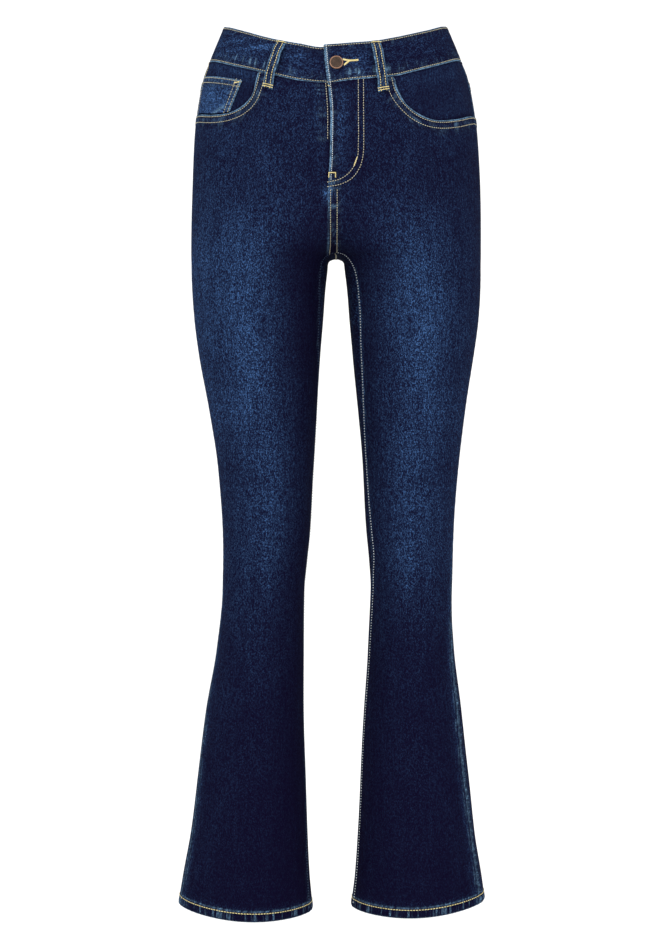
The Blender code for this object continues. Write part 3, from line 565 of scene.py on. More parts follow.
def settle(p):
    """Evens out the grid close to the crotch, where angles and heights alone bunch it up."""
    crotch = crotch_point()
    for _ in range(SETTLE_STEPS):
        away = np.linalg.norm(p[1:-1, 1:-1] - crotch, axis=-1)
        share = SETTLE_SHARE * smooth_step((SETTLE_REACH - away) / SETTLE_FALL)[..., None]
        even = (p[:-2, 1:-1] + p[2:, 1:-1] + p[1:-1, :-2] + p[1:-1, 2:]) / 4
        p[1:-1, 1:-1] += share * (even - p[1:-1, 1:-1])
        p[1:-1, 1:-1] = onto_surface(p[1:-1, 1:-1])
    return p


def unit(v):
    return v / np.linalg.norm(v, axis=-1, keepdims=True)


def smooth_curve(drawn, count):
    """Points along a smooth curve through a few drawn ones."""
    drawn = np.array(drawn, float)
    t = np.linspace(0, len(drawn) - 1, count)
    slopes = np.gradient(drawn, axis=0)
    row = np.clip(t.astype(int), 0, len(drawn) - 2)
    w = (t - row)[:, None]
    return (
        (1 + 2 * w) * (1 - w) ** 2 * drawn[row] + w * (1 - w) ** 2 * slopes[row]
        + w * w * (3 - 2 * w) * drawn[row + 1] + w * w * (w - 1) * slopes[row + 1]
    )


@functools.cache
def pocket_line(side):
    """The front pocket's edge on the form, from the waistband to the outer seam."""
    curve = smooth_curve(LEFT_POCKET if side == LEFT else RIGHT_POCKET, POCKET_POINTS)
    on_form = front_point(side * curve[:, 0], curve[:, 1])
    end = side_seam_point(side, curve[-1, 1])
    start_angle = angle_round_leg(side, on_form[0])
    start = around_leg(side, start_angle, band_foot_height(side, start_angle))
    return np.concatenate([start[None], on_form[1:-1], end[None]])


def fly_start(side):
    """Where the fly's edge meets the waistband."""
    angle = -90.0
    for _ in range(4):
        height = band_foot_height(side, angle)
        start = front_point(fly_line.read("x", height), height)
        angle = angle_round_leg(side, start)
    return start


def front_angles(side):
    """Angles of a front's columns along the waistband, from the fly to the pocket."""
    start = angle_round_leg(side, fly_start(side))
    corner = angle_round_leg(side, pocket_line(side)[0])
    return start + (corner - start) * PANEL_COLUMNS[: PANEL_SPLIT + 1] / PANEL_COLUMNS[PANEL_SPLIT]


def facing_angles(side):
    """Angles of a pocket facing's columns along the waistband, from the pocket to the outer seam."""
    corner = angle_round_leg(side, pocket_line(side)[0])
    return np.linspace(corner, seam_angle(side, "outer", SIDE_SEAM_HEIGHT), FACING_STEPS + 1)


def yoke_angles(side):
    """Angles of a yoke's columns along the waistband, from the centre back to the outer seam."""
    end = seam_angle(side, "outer", SIDE_SEAM_HEIGHT)
    return 90 + (end - 90) * PANEL_COLUMNS


def along_waistband(side, angles):
    return around_leg(side, angles, band_foot_height(side, angles))


def front_top(side):
    """A front's top line: the waistband's seam from the fly, then the pocket's edge."""
    along_band = along_waistband(side, front_angles(side))
    along_band[0] = fly_start(side)
    rest = (PANEL_COLUMNS[PANEL_SPLIT:] - PANEL_COLUMNS[PANEL_SPLIT]) / (1 - PANEL_COLUMNS[PANEL_SPLIT])
    return np.concatenate([along_band[:-1], spread(pocket_line(side), rest)])


def yoke_seam(side):
    """The seam under the yoke, from the centre back to the outer seam."""
    centre_height = float(band_foot_height(side, 90)) - YOKE_CENTRE_DEPTH
    side_height = float(band_foot_height(side, 0)) - YOKE_SIDE_DEPTH
    start = back_point(0.0, centre_height)
    start_angle = angle_round_leg(side, start)
    end_angle = seam_angle(side, "outer", side_height)
    angles = start_angle + (end_angle - start_angle) * PANEL_COLUMNS
    line = around_leg(side, angles, centre_height + (side_height - centre_height) * PANEL_COLUMNS)
    line[0] = start
    return line


def hem_line(side, start_angle, end_angle):
    angles = start_angle + (end_angle - start_angle) * PANEL_COLUMNS
    return around_leg(side, angles, hem_height(side, angles))


def back_at(side, from_seam, height):
    """The point of the back at a distance along the cloth from the centre back seam."""
    x = np.linspace(0, 165, 120)
    outline = back_point(side * x, np.full(x.shape, float(height)))
    return back_point(side * np.interp(from_seam, way_along_line(outline), x), height)


# How the fades lie on the front of each leg, by height: where across the front the fade is strongest, how
# far it reaches to the inside and to the outside, and its strength outside, at its strongest and inside.
FADE_COLUMNS = (
    "height",
    "right_x", "right_in", "right_out", "right_side", "right_peak", "right_floor",
    "left_x", "left_in", "left_out", "left_side", "left_peak", "left_floor",
)
FADES = (
    (-60, -110, 60, 30, 0.15, 0.15, 0.13, 100, 60, 40, 0.12, 0.12, 0.11),
    (-125, -110, 50, 30, 0.19, 0.18, 0.13, 100, 60, 40, 0.12, 0.12, 0.11),
    (-165, -108, 55, 30, 0.19, 0.19, 0.10, 98, 50, 40, 0.09, 0.11, 0.09),
    (-205, -104, 46, 30, 0.23, 0.25, 0.08, 94, 40, 34, 0.11, 0.19, 0.09),
    (-235, -104, 38, 26, 0.29, 0.37, 0.06, 95, 46, 32, 0.12, 0.28, 0.07),
    (-268, -106, 34, 22, 0.34, 0.45, 0.02, 99, 44, 30, 0.11, 0.38, 0.03),
    (-336, -102, 36, 20, 0.35, 0.43, 0.01, 98, 40, 32, 0.15, 0.47, 0.05),
    (-381, -98, 36, 22, 0.32, 0.44, 0.01, 97, 38, 30, 0.17, 0.42, 0.05),
    (-426, -90, 34, 26, 0.29, 0.42, 0.01, 92, 34, 30, 0.18, 0.37, 0.07),
    (-471, -86, 36, 28, 0.25, 0.31, 0.03, 91, 34, 28, 0.19, 0.35, 0.07),
    (-517, -78, 28, 26, 0.19, 0.30, 0.05, 88, 30, 26, 0.18, 0.31, 0.10),
    (-564, -80, 28, 26, 0.17, 0.31, 0.04, 91, 30, 26, 0.18, 0.33, 0.10),
    (-610, -86, 28, 24, 0.16, 0.24, 0.03, 85, 28, 26, 0.16, 0.29, 0.08),
    (-656, -86, 30, 26, 0.13, 0.14, 0.03, 86, 30, 28, 0.10, 0.15, 0.09),
    (-720, -90, 30, 30, 0.10, 0.09, 0.03, 90, 34, 34, 0.07, 0.06, 0.06),
    (-800, -95, 40, 34, 0.08, 0.05, 0.02, 95, 40, 36, 0.05, 0.05, 0.05),
    (-1040, -100, 50, 40, 0.04, 0.02, 0.01, 105, 50, 40, 0.03, 0.025, 0.025),
)
# The same on the back: the seat and the backs of the thighs.
BACK_FADES = (
    (-40, 70, 50, 0.06),
    (-120, 78, 48, 0.16),
    (-190, 80, 48, 0.28),
    (-250, 82, 44, 0.18),
    (-330, 88, 40, 0.20),
    (-480, 86, 34, 0.18),
    (-640, 86, 30, 0.07),
    (-1040, 95, 40, 0.01),
)
BACK_FADE_COLUMNS = ("height", "x", "reach", "strength")

# Soft creases of the worn cloth: the leg, the two ends of the crease as an angle round that leg and a height,
# its reach to each side, and its lift. A negative lift is a trough.
CREASES = (
    (LEFT, -148, -226, -104, -196, 7, -0.9),
    (LEFT, -142, -246, -96, -226, 9, 0.9),
    (LEFT, -150, -262, -100, -262, 8, -0.8),
    (LEFT, -138, -290, -92, -276, 10, 0.6),
    (LEFT, -96, -214, -48, -190, 12, -0.7),
    (RIGHT, -146, -222, -100, -202, 7, -0.8),
    (RIGHT, -140, -244, -92, -216, 9, 0.9),
    (RIGHT, -152, -258, -104, -248, 8, -0.9),
    (RIGHT, -136, -286, -86, -262, 11, 0.6),
    (RIGHT, -92, -222, -40, -204, 12, -0.8),
    (LEFT, 70, -262, 150, -272, 9, -1.3),
    (LEFT, 62, -284, 128, -300, 12, 0.9),
    (RIGHT, 66, -258, 152, -270, 9, -1.2),
    (RIGHT, 72, -290, 134, -296, 13, 0.8),
    (LEFT, 48, -560, 128, -572, 8, -1.2),
    (LEFT, 40, -588, 118, -580, 9, 1.0),
    (LEFT, 60, -612, 140, -624, 8, -1.0),
    (RIGHT, 52, -556, 136, -566, 8, -1.1),
    (RIGHT, 38, -592, 112, -584, 10, 1.0),
    (RIGHT, 64, -618, 132, -626, 8, -0.9),
    (LEFT, -128, -548, -78, -560, 11, -0.5),
    (LEFT, -120, -604, -70, -594, 12, 0.6),
    (RIGHT, -110, -552, -62, -566, 12, -0.5),
    (RIGHT, -124, -610, -76, -600, 12, 0.6),
    (LEFT, -68, -640, -60, -800, 10, 0.8),
    (LEFT, -112, -640, -118, -760, 10, 0.7),
    (RIGHT, -58, -650, -50, -840, 11, 0.7),
    (RIGHT, -122, -690, -128, -880, 12, -0.6),
    (LEFT, -84, -820, -80, -1000, 15, -0.8),
    (RIGHT, -92, -800, -96, -990, 15, -0.7),
    (LEFT, 88, -760, 80, -980, 15, -1.0),
    (RIGHT, 92, -780, 98, -970, 15, -1.0),
)

# Cloth, in millimetres of wall, and how proud its sewn edges stand.
DENIM = 1.4
POCKET_DENIM = 1.2
BAND_WALL = 2.6
BAND_PROUD = 0.9
HEM_WALL = 2.6
HEM_DEPTH = 10.5
SEAM_RIDGE = 0.55
SIDE_RIDGE = 0.35
SIDE_RIDGE_WIDTH = 8.0
FELLED_WIDTH = 10.0
FOLD_RIDGE = 0.6
EDGE_ROLL = 0.55
FLAP_LIFT = 0.8
FLY_WIDTH = 32.0
PATCH_LIFT = 0.8
CORNER_DROOP = 1.4
FACING_DEPTH = 2.2
COIN_POCKET_WALL = 1.1
BACK_POCKET_LIFT = 1.0
CROTCH_RAISE = 5.0
CROTCH_WIDEN = 1.2

# How fine the meshes are: from point to point, the same near edges, a leg panel's columns, and from how many
# degrees a fold is drawn sharp.
POINT_STEP = 2.7
EDGE_STEP = 1.1
LEG_COLUMNS = 80
SHARP_FOLD = 50

# What each point of a piece of cloth carries for the denim's colour: its fade, its wear, its painted shade
# (deep) and the worn crests of its ropes.
WEAR_AND_SHADE_KINDS = ("fade", "wear", "deep", "ropes")

# Rows of stitches: how far each is in from its edge. The crotch seam's rows are given by their x, and the
# ends of the coin pocket's tack by how far they are from its top and from its inner edge.
HEM_ROW = HEM_DEPTH - 1.0
FELLED_ROWS = (1.6, 9.0)
FLY_EDGE_ROW = 3.0
CROTCH_ROWS = (-6.1, 1.4)
MOUTH_ROWS = (2.2, 9.0)
BAND_TOP_ROW = 2.4
BAND_FOOT_ROW = 1.9
BAND_END_ROW = 3.2
COIN_ROWS = (1.8, 7.6)
COIN_SIDE_ROW = 5.0
COIN_TACK = ((2.0, 1.8), (4.5, 7.5))
FACING_SIDE_ROW = 2.4
BACK_POCKET_ROWS = (1.8, 8.0)
BACK_POCKET_TOP_ROWS = (2.0, 12.0)

# The row beside each inseam. The left one moves further from the seam below the knee.
INSEAM_ROWS = {LEFT: 3.3, RIGHT: 4.0}
INSEAM_MOVES_OUT = 5.2
INSEAM_TURN = -470
INSEAM_TURN_LENGTH = 230

# On a belt loop: where its rows run, as a share of its half width, and its tacks, as a share of its length.
LOOP_ROWS = (-0.5, 0.5)
LOOP_TACKS = (0.028, 0.934, 0.968)

# Stitches that differ from the usual one: pitch, length, width and height. None takes the usual size.
USUAL_STITCH = (None, None, None, None)
HEM_STITCH = (3.3, 3.1, 1.0, None)
INSEAM_STITCH = (3.2, 1.5, 1.3, 1.2)
EDGE_STITCH = (2.4, 1.9, 0.8, None)
TACK_STITCH = (0.6, 1.5, 0.7, 0.8)
LOOP_TACK_STITCH = (0.6, 1.2, 0.75, 0.8)
BUTTONHOLE_STITCH = (0.6, 2.6, 0.8, 0.8)
STITCH_SWING = 0.09
ACROSS = math.pi / 2

# The zip's teeth: pitch, width and height, and how much of the pitch each tooth takes up.
TOOTH = (1.3, 4.6, 0.9)
TOOTH_SHARE = 0.55

fades = Table(FADE_COLUMNS, FADES)
back_fades = Table(BACK_FADE_COLUMNS, BACK_FADES)


def along(values, knots, at):
    """A smooth curve through rows of values at these knots, read at other places."""
    values, knots, at = np.asarray(values, float), np.asarray(knots, float), np.asarray(at, float)
    slopes = np.gradient(values, knots, axis=0)
    row = np.clip(np.searchsorted(knots, at, side="right") - 1, 0, len(knots) - 2)
    shape = (-1,) + (1,) * (values.ndim - 1)
    step = (knots[row + 1] - knots[row]).reshape(shape)
    t = (at - knots[row]).reshape(shape) / step
    return (
        (1 + 2 * t) * (1 - t) ** 2 * values[row]
        + t * (1 - t) ** 2 * step * slopes[row]
        + t * t * (3 - 2 * t) * values[row + 1]
        + t * t * (t - 1) * step * slopes[row + 1]
    )


def finer(grid, row_knots, column_knots, rows, columns):
    """The same stretch of cloth with more points, put back on the form."""
    grid = along(grid, row_knots, rows)
    grid = np.swapaxes(along(np.swapaxes(grid, 0, 1), column_knots, columns), 0, 1)
    return onto_surface(grid, 2)


def close_at_ends(count, closeness=0.65):
    """Fractions from 0 to 1 that lie closer together at both ends."""
    t = np.linspace(0, 1, count)
    return t - closeness * np.sin(2 * np.pi * t) / (2 * np.pi)


def close_near_edges(length, edge=14.0):
    """Fractions of a length: points close together near both ends, and further apart between them."""
    near = np.arange(0, edge, EDGE_STEP)
    between = np.linspace(edge, length - edge, max(int((length - 2 * edge) / POINT_STEP), 2))
    return np.concatenate([near, between, length - near[::-1]]) / length


def ridge(distance_in, width, soft=1.6):
    """1 from the edge to this width, then softly 0."""
    return 1 - smooth_step((distance_in - width + soft / 2) / soft)


def bump(distance_in, at, reach):
    return np.exp(-(((distance_in - at) / reach) ** 2))


def pucker(way_along, pitch, seed):
    """An uneven ripple from -1 to 1 along a seam."""
    turn = 2 * np.pi * np.asarray(way_along) / pitch
    drift = 1.3 * np.sin(turn / 5.3 + seed) + 0.9 * np.sin(turn / 2.7 + 2.1 * seed)
    swell = 0.65 + 0.35 * np.sin(turn / 3.9 + 3.7 * seed)
    return np.sin(turn + drift) * swell


class Cloth:
    """A piece of cloth: its points on the form, how far each is lifted, how faded and how worn it is, and
    where shade is painted on it.
    """

    def __init__(self, name, grid):
        self.name, self.p, self.way = name, grid, normals(grid)
        across = np.linalg.norm(np.diff(grid, axis=1), axis=-1)
        down = np.linalg.norm(np.diff(grid, axis=0), axis=-1)
        self.from_inner = np.pad(np.cumsum(across, axis=1), ((0, 0), (1, 0)))
        self.from_top = np.pad(np.cumsum(down, axis=0), ((1, 0), (0, 0)))
        self.from_outer = self.from_inner[:, -1:] - self.from_inner
        self.from_foot = self.from_top[-1:] - self.from_top
        self.lift = np.zeros(grid.shape[:2])
        self.fade, self.wear, self.deep, self.ropes = (np.zeros(grid.shape[:2]) for _ in WEAR_AND_SHADE_KINDS)
        self.u, self.v = self.from_inner, self.from_top

    def outside(self):
        return self.p + self.lift[..., None] * self.way

    def edge(self, name):
        """How far each point is from an edge, and how far along it. An edge can also be such a pair."""
        if not isinstance(name, str):
            return name
        return getattr(self, f"from_{name}"), self.from_top if name in ("inner", "outer") else self.from_inner

    def roll_edge(self, name, where=1.0, depth=EDGE_ROLL):
        self.lift -= where * depth * np.exp(-((self.edge(name)[0] / 0.8) ** 2))

    def fold_edge(self, name, width, height, where=1.0):
        self.lift += where * height * ridge(self.edge(name)[0], width)

    def sewn(self, name, distance_in, where=1.0, pitch=7.0, seed=0.0, depth=0.25, worn=0.5):
        """The dent and the puckers that a row of stitches pulls into the cloth, the wear on them, and painted
        shade in the dent.
        """
        away, way_along = self.edge(name)
        close, near = bump(away, distance_in, 0.9), bump(away, distance_in, 4.5)
        ripple = pucker(way_along, pitch, seed)
        self.lift += where * (near * 0.16 * ripple - close * depth)
        self.wear += where * worn * (near - 0.7 * close) * np.clip(ripple, 0, 1) ** 1.5
        self.deep += where * 0.55 * close

    def worn_edge(self, name, amount, where=1.0, reach=1.6, seed=0.0):
        away, way_along = self.edge(name)
        patchy = 0.72 + 0.28 * pucker(way_along, 11.0, seed)
        self.wear += where * amount * patchy * np.exp(-((away / reach) ** 2))

    def shaded(self, name, amount, where=1.0, reach=2.5):
        """Painted shade on cloth that lies low beside an edge."""
        self.deep += where * amount * np.exp(-((self.edge(name)[0] / reach) ** 2))


def search_tree(places):
    """A tree that finds the nearest of some points."""
    tree = kdtree.KDTree(len(places))
    for i, place in enumerate(places):
        tree.insert(place, i)
    tree.balance()
    return tree


def off_line(p, line, reach):
    """How far points are from a line, and how far along it the nearest place is, up to its reach."""
    far = way_along_line(line)
    steps = np.linspace(0, 1, 500)
    fine = spread(line, steps)
    tree = search_tree(fine)
    away, way_along = np.full(p.shape[:-1], 1e3), np.zeros(p.shape[:-1])
    low, high = fine.min(axis=0) - reach, fine.max(axis=0) + reach
    for place in zip(*np.where(((p > low) & (p < high)).all(axis=-1))):
        _, i, away[place] = tree.find(p[place])
        way_along[place] = steps[i] * far[-1]
    return away, way_along


def unrolled(side, p, ahead=True):
    """Where a point of a leg lies on its cloth laid flat: across from the leg's grain line, and down it."""
    height = p[..., 2]
    grain = form.read("sway", height) + side * leg_middle(np.minimum(height, crotch_point()[2] - 20))
    across = side * (p[..., 0] - grain)
    deep = p[..., 1] - form.read("front", height) if ahead else form.read("back", height) - p[..., 1]
    return across + 0.7 * deep * across / np.hypot(across, 15.0), -height


def crease_lift(side, p):
    angle, height = angle_round_leg(side, p), p[..., 2]
    radius = (form.read("outer", height) - form.read("inner", height)) / 2
    lift = np.zeros(height.shape)
    for leg, a0, h0, a1, h1, reach, amount in CREASES:
        if leg != side:
            continue
        turn = (angle - (a0 + a1) / 2 + 180) % 360 - 180
        x, end_x = np.radians(turn) * radius, math.radians(a1 - a0) / 2 * radius
        y, end_y = height - (h0 + h1) / 2, (h1 - h0) / 2
        length = np.hypot(end_x, end_y)
        t = (x * end_x + y * end_y) / length**2
        off = (x * end_y - y * end_x) / length
        lift += amount * np.exp(-((off / reach) ** 2)) * smooth_step((1.15 - np.abs(t)) / 0.7)
    return lift


def drape(p):
    """A slight unevenness of the whole cloth, so that no stretch of it is drawn with a ruler."""
    x, y, z = (p[..., i] for i in range(3))
    broad = 0.25 * np.sin(z / 67 - y / 29 + 1.3)
    return 0.35 * np.sin(z / 31 + x / 57) * np.sin(x / 23 - z / 83 + y / 41) + broad


def leg_fade(side, face, p, way):
    """How strongly a leg is faded: a band down its front or back, and less beside it."""
    height, name = p[..., 2], SIDE_NAMES[side]
    if face == "back":
        off = (side * p[..., 0] - back_fades.read("x", height)) / back_fades.read("reach", height)
        floor = 0.09 * smooth_step((height + 700) / 300) + 0.02
        band = back_fades.read("strength", height) * np.exp(-(off**2))
        return floor + band * np.clip(way[..., 1] / 0.6, 0, 1)
    middle, inward, outward, outside, peak, inside = fades.read_several(
        [f"{name}_{column}" for column in ("x", "in", "out", "side", "peak", "floor")], height
    )
    off = side * (p[..., 0] - middle)
    level = np.where(off > 0, outside, inside)
    shape = np.exp(-(np.abs(off / np.where(off > 0, outward, inward)) ** 1.6))
    return np.maximum(level + (peak - level) * shape - 0.012, 0.0)


@functools.cache
def leg_panel(side, face):
    """The front's or the back's coarse grid, as its solid has it, and how far down each of its rows lies."""
    ahead = face == "front"
    top = front_top(side) if ahead else yoke_seam(side)
    rise = front_rise(top[0, 2]) if ahead else back_rise(top[0, 2])
    rise_rows, leg_rows = graded(*RISE_ROWS), graded(*LEG_ROWS)
    inner_foot, outer_foot = (float(seam_angle(side, which, HEM_LEVEL)) for which in ("inner", "outer"))
    leg = inner_seam(side, hem_height(side, inner_foot))
    inner = np.concatenate([spread(rise, rise_rows), spread(leg, leg_rows)[1:]])
    crotch_height = crotch_point()[2]
    upper = outer_seam(side, top[-1, 2], rise_rows, crotch_height)
    lower = outer_seam(side, crotch_height, leg_rows, hem_height(side, outer_foot))
    outer = np.concatenate([upper, lower[1:]])
    foot = hem_line(side, inner_foot - 360 if ahead else inner_foot, outer_foot)
    inner[0], outer[0], inner[-1], outer[-1] = top[0], top[-1], foot[0], foot[-1]
    down = way_along_line(outer)
    return fill(side, top, foot, inner, outer, PANEL_COLUMNS, down / down[-1]), down


def squared_crotch(p):
    """The points of a leg, with the arch between the legs a little higher and squarer."""
    top = crotch_point()
    across, below = p[..., 0] - top[0], p[..., 2] - top[2]
    moved = p.copy()
    moved[..., 2] += CROTCH_RAISE * np.exp(-((across / 17) ** 4) - (below / 16) ** 2)
    corner = np.exp(-(((np.abs(across) - 7) / 5) ** 2) - ((below + 5) / 7) ** 2)
    moved[..., 0] += CROTCH_WIDEN * np.sign(across) * corner
    return moved


def leg_cloth(side, face):
    coarse, down = leg_panel(side, face)
    rows, columns = close_near_edges(down[-1]), close_at_ends(LEG_COLUMNS)
    fine = squared_crotch(finer(coarse, down / down[-1], PANEL_COLUMNS, rows, columns))
    cloth = Cloth(f"leg_{face}_{SIDE_NAMES[side]}", fine)
    cloth.u, cloth.v = unrolled(side, fine, face == "front")
    crotch = np.interp(down[RISE_ROWS[0]] / down[-1], rows, np.arange(len(rows)))
    cloth.above = smooth_step((crotch - np.arange(len(rows))) / 6 + 0.5)[:, None]
    cloth.crotch_row = int(round(crotch))
    below = 1 - cloth.above
    cloth.lift = crease_lift(side, fine) + drape(fine)
    cloth.fade = leg_fade(side, face, fine, cloth.way)
    seed = side * 1.7 + (face == "back") * 2.9
    cloth.roll_edge("inner")
    cloth.roll_edge("outer")
    cloth.roll_edge("top", depth=0.3)
    cloth.fold_edge("outer", SIDE_RIDGE_WIDTH, SIDE_RIDGE)
    cloth.sewn("outer", 1.2, below, pitch=9.5, seed=seed, depth=0.1, worn=0.30)
    cloth.worn_edge("outer", 0.45, 0.4 + 0.6 * below, seed=seed)
    dress_outseam(cloth, seed)
    cloth.worn_edge("inner", 0.30, below, 1.0, seed=seed + 1)
    # Painted shade between the legs, round the crotch.
    from_crotch = np.linalg.norm(fine - crotch_point(), axis=-1)
    cloth.deep += 0.75 * np.exp(-((from_crotch / 17) ** 2))
    if face == "front":
        cloth.fold_edge("inner", 6.5, SEAM_RIDGE, below)
        cloth.sewn("inner", 2.4, below, seed=seed, worn=0.3)
        dress_front(cloth, side, seed)
    else:
        dress_back(cloth, side, seed)
    dress_hem(cloth, seed)
    return cloth


def dress_outseam(cloth, seed):
    """The light lines that wear draws along the side seam: a ragged one at its fold and one on its ridge,
    with painted shade in the groove between them.
    """
    away, height = cloth.from_outer, cloth.p[..., 2]
    lower = smooth_step((-430 - height) / 160)
    fold = np.clip(0.55 + 0.6 * pucker(height, 17.0, seed + 0.6) + 0.3 * pucker(height, 5.3, seed), 0, 1)
    crest = np.clip(0.45 + 0.7 * pucker(height, 41.0, seed + 2.2) + 0.3 * pucker(height, 7.1, seed), 0, 1)
    wander = 0.8 * pucker(height, 63.0, seed + 1.1)
    cloth.wear += 0.30 * (0.25 + 0.75 * lower) * fold * bump(away, 2.6 + 0.4 * wander, 0.9)
    cloth.wear += 0.20 * lower * crest * bump(away, 7.6 + wander, 1.0)
    cloth.fade += 0.09 * lower * bump(away, 9.0, 7.0)
    cloth.deep += 0.45 * lower * bump(away, 4.8, 1.1)


def dress_front(cloth, side, seed):
    """The fly, the crotch seam and the pocket's mouth, in the front's points."""
    height = cloth.p[..., 2]
    fly = cloth.above * smooth_step((height - FLY_BOTTOM + 12) / 24)
    rub = np.exp(-(((height + 194) / 8) ** 2))
    if side == LEFT:
        dress_over_fly(cloth, seed, fly, rub)
    else:
        dress_under_fly(cloth, seed, fly, rub)
    dress_crotch_seam(cloth)
    dress_pocket_mouth(cloth, side, seed)


def dress_over_fly(cloth, seed, fly, rub):
    """The fly's flap on the left front, with its worn edge and painted shade beside its rows, and the seam
    below it.
    """
    above, height, inner = cloth.above, cloth.p[..., 2], cloth.from_inner
    cloth.lift += fly * FLAP_LIFT * (1 - 0.75 * smooth_step(inner / FLY_WIDTH))
    cloth.lift += fly * 0.35 * ridge(inner, FLY_WIDTH + 3)
    cloth.sewn("inner", FLY_EDGE_ROW, fly, seed=seed, worn=0.30)
    cloth.wear += 1.1 * fly * bump(inner, 1.4, 1.5) * (0.62 + 0.38 * pucker(height, 4.4, seed))
    stripe = bump(inner, 12.6, 6.2) * smooth_step((height + 168) / 26) * smooth_step((-66 - height) / 22)
    cloth.fade += 0.20 * fly * stripe * (0.85 + 0.35 * pucker(height, 21.0, 0.4))
    # Painted shade beside the flap's rows of stitches and along a line down the flap.
    low = 0.5 * bump(inner, 5.5, 1.8) + 0.35 * bump(inner, 28.0, 3.5) + 0.3 * bump(inner, 37.0, 2.5)
    cloth.deep += fly * low
    cloth.deep += 0.3 * fly * bump(inner, 11.6 + 0.8 * pucker(height, 33.0, 1.4), 0.9)
    felled = above - fly
    cloth.fold_edge("inner", FELLED_WIDTH, SEAM_RIDGE, felled)
    for distance_in in FELLED_ROWS:
        cloth.sewn("inner", distance_in, felled, seed=seed, worn=0.4)
    cloth.shaded((np.abs(inner - 12.0), inner), 0.5, felled)
    wrinkle = np.clip(pucker(height + 0.35 * inner, 4.4, 0.9), 0, 1) ** 2
    cloth.fade += above * rub * (0.7 * bump(inner, 1.0, 4.0) + 0.6 * wrinkle * bump(inner, 12.0, 7.0))
    cloth.fade += 0.20 * below_crotch(height) * (1 - above) * ridge(inner, 6.0, 1.0)


def dress_under_fly(cloth, seed, fly, rub):
    """The edge of the right front, which goes down under the flap and lies in its shade."""
    above, height, inner = cloth.above, cloth.p[..., 2], cloth.from_inner
    cloth.lift -= fly * 0.45 * ridge(inner, 10.0, 8.0)
    cloth.sewn("inner", 8.5, above * smooth_step((height + 138) / 8), seed=seed, worn=0.3)
    cloth.deep += 0.75 * above * bump(inner, 0.0, 5.5) * (1 - rub)
    cloth.fade += 0.6 * above * rub * bump(inner, 0.0, 5.0)
    # Painted shade along the inner edge, below the crotch.
    cloth.deep += 0.35 * (1 - above) * bump(inner, 3.0, 4.0) * smooth_step((height + 420) / 120)


def dress_crotch_seam(cloth):
    height, x = cloth.p[..., 2], cloth.p[..., 0]
    seam = (height > crotch_point()[2] - 4) * smooth_step((-183 - height) / 5)
    ragged = 0.6 + 0.4 * pucker(height, 4.9, 3.1)
    cloth.wear += 0.55 * seam * ragged * bump(x, CROTCH_ROWS[0] - 2.3, 1.0)
    # Painted shade between the seam's two rows.
    cloth.deep += 0.5 * seam * bump(x, sum(CROTCH_ROWS) / 2, 2.0)


def dress_pocket_mouth(cloth, side, seed):
    mouth = off_line(cloth.p, pocket_line(side), 24.0)
    cloth.fold_edge(mouth, 11.0, FOLD_RIDGE)
    for distance_in in MOUTH_ROWS:
        cloth.sewn(mouth, distance_in, seed=seed + distance_in, worn=0.35)
    cloth.worn_edge(mouth, 1.5, reach=0.85, seed=seed)
    # Painted shade beside the mouth's fold and its outer row, and under the waistband beyond the mouth.
    cloth.shaded((np.abs(mouth[0] - 13.0), mouth[1]), 0.45)
    cloth.shaded((np.abs(mouth[0] - 2.6), mouth[1]), 0.5, reach=1.0)
    cloth.shaded("top", 0.7, mouth[0] > 2.0, 4.0)


def below_crotch(height):
    """1 along the upper inseam, from a little under the crotch down to the knee."""
    return smooth_step((-268 - height) / 30) * (0.35 + 0.65 * smooth_step((height + 620) / 200))


def dress_back(cloth, side, seed):
    """The centre back seam and the yoke's seam, in the back's points."""
    if side == LEFT:
        cloth.fold_edge("inner", FELLED_WIDTH, SEAM_RIDGE, cloth.above)
        for distance_in in FELLED_ROWS:
            cloth.sewn("inner", distance_in, cloth.above, seed=seed, worn=0.4)
        cloth.worn_edge("inner", 0.8, cloth.above, seed=seed)
    else:
        cloth.worn_edge("inner", 0.3, cloth.above, seed=seed)
    cloth.worn_edge("top", 0.25, seed=seed)
    # Painted shade under the yoke seam.
    cloth.shaded("top", 0.5, reach=3.0)


def dress_hem(cloth, seed):
    """The hem's fold, with the diagonal ropes that its stitches twist it into."""
    up = cloth.from_foot
    within, rim = ridge(up, HEM_DEPTH, 1.0), np.exp(-((up / 0.8) ** 2))
    ropes = pucker(cloth.u + 0.5 * up, 8.3, seed)
    cloth.lift += within * (0.45 + 0.30 * ropes)
    cloth.lift -= 0.5 * rim + 0.2 * bump(up, HEM_ROW, 0.9)
    cloth.ropes += 0.27 * within * smooth_step(up / 3)
    cloth.wear += 0.20 * rim
    cloth.wear += 0.55 * bump(up, HEM_DEPTH + 1.2, 0.8) * np.clip(0.5 + 0.6 * ropes, 0, 1)
    cloth.ropes += 0.25 * bump(up, HEM_DEPTH + 1.4, 1.2)
    cloth.fade += 0.04 * bump(up, HEM_DEPTH + 3.0, 3.5)
    # Painted shade along the hem's row of stitches.
    cloth.deep += 0.6 * bump(up, HEM_ROW, 1.2)


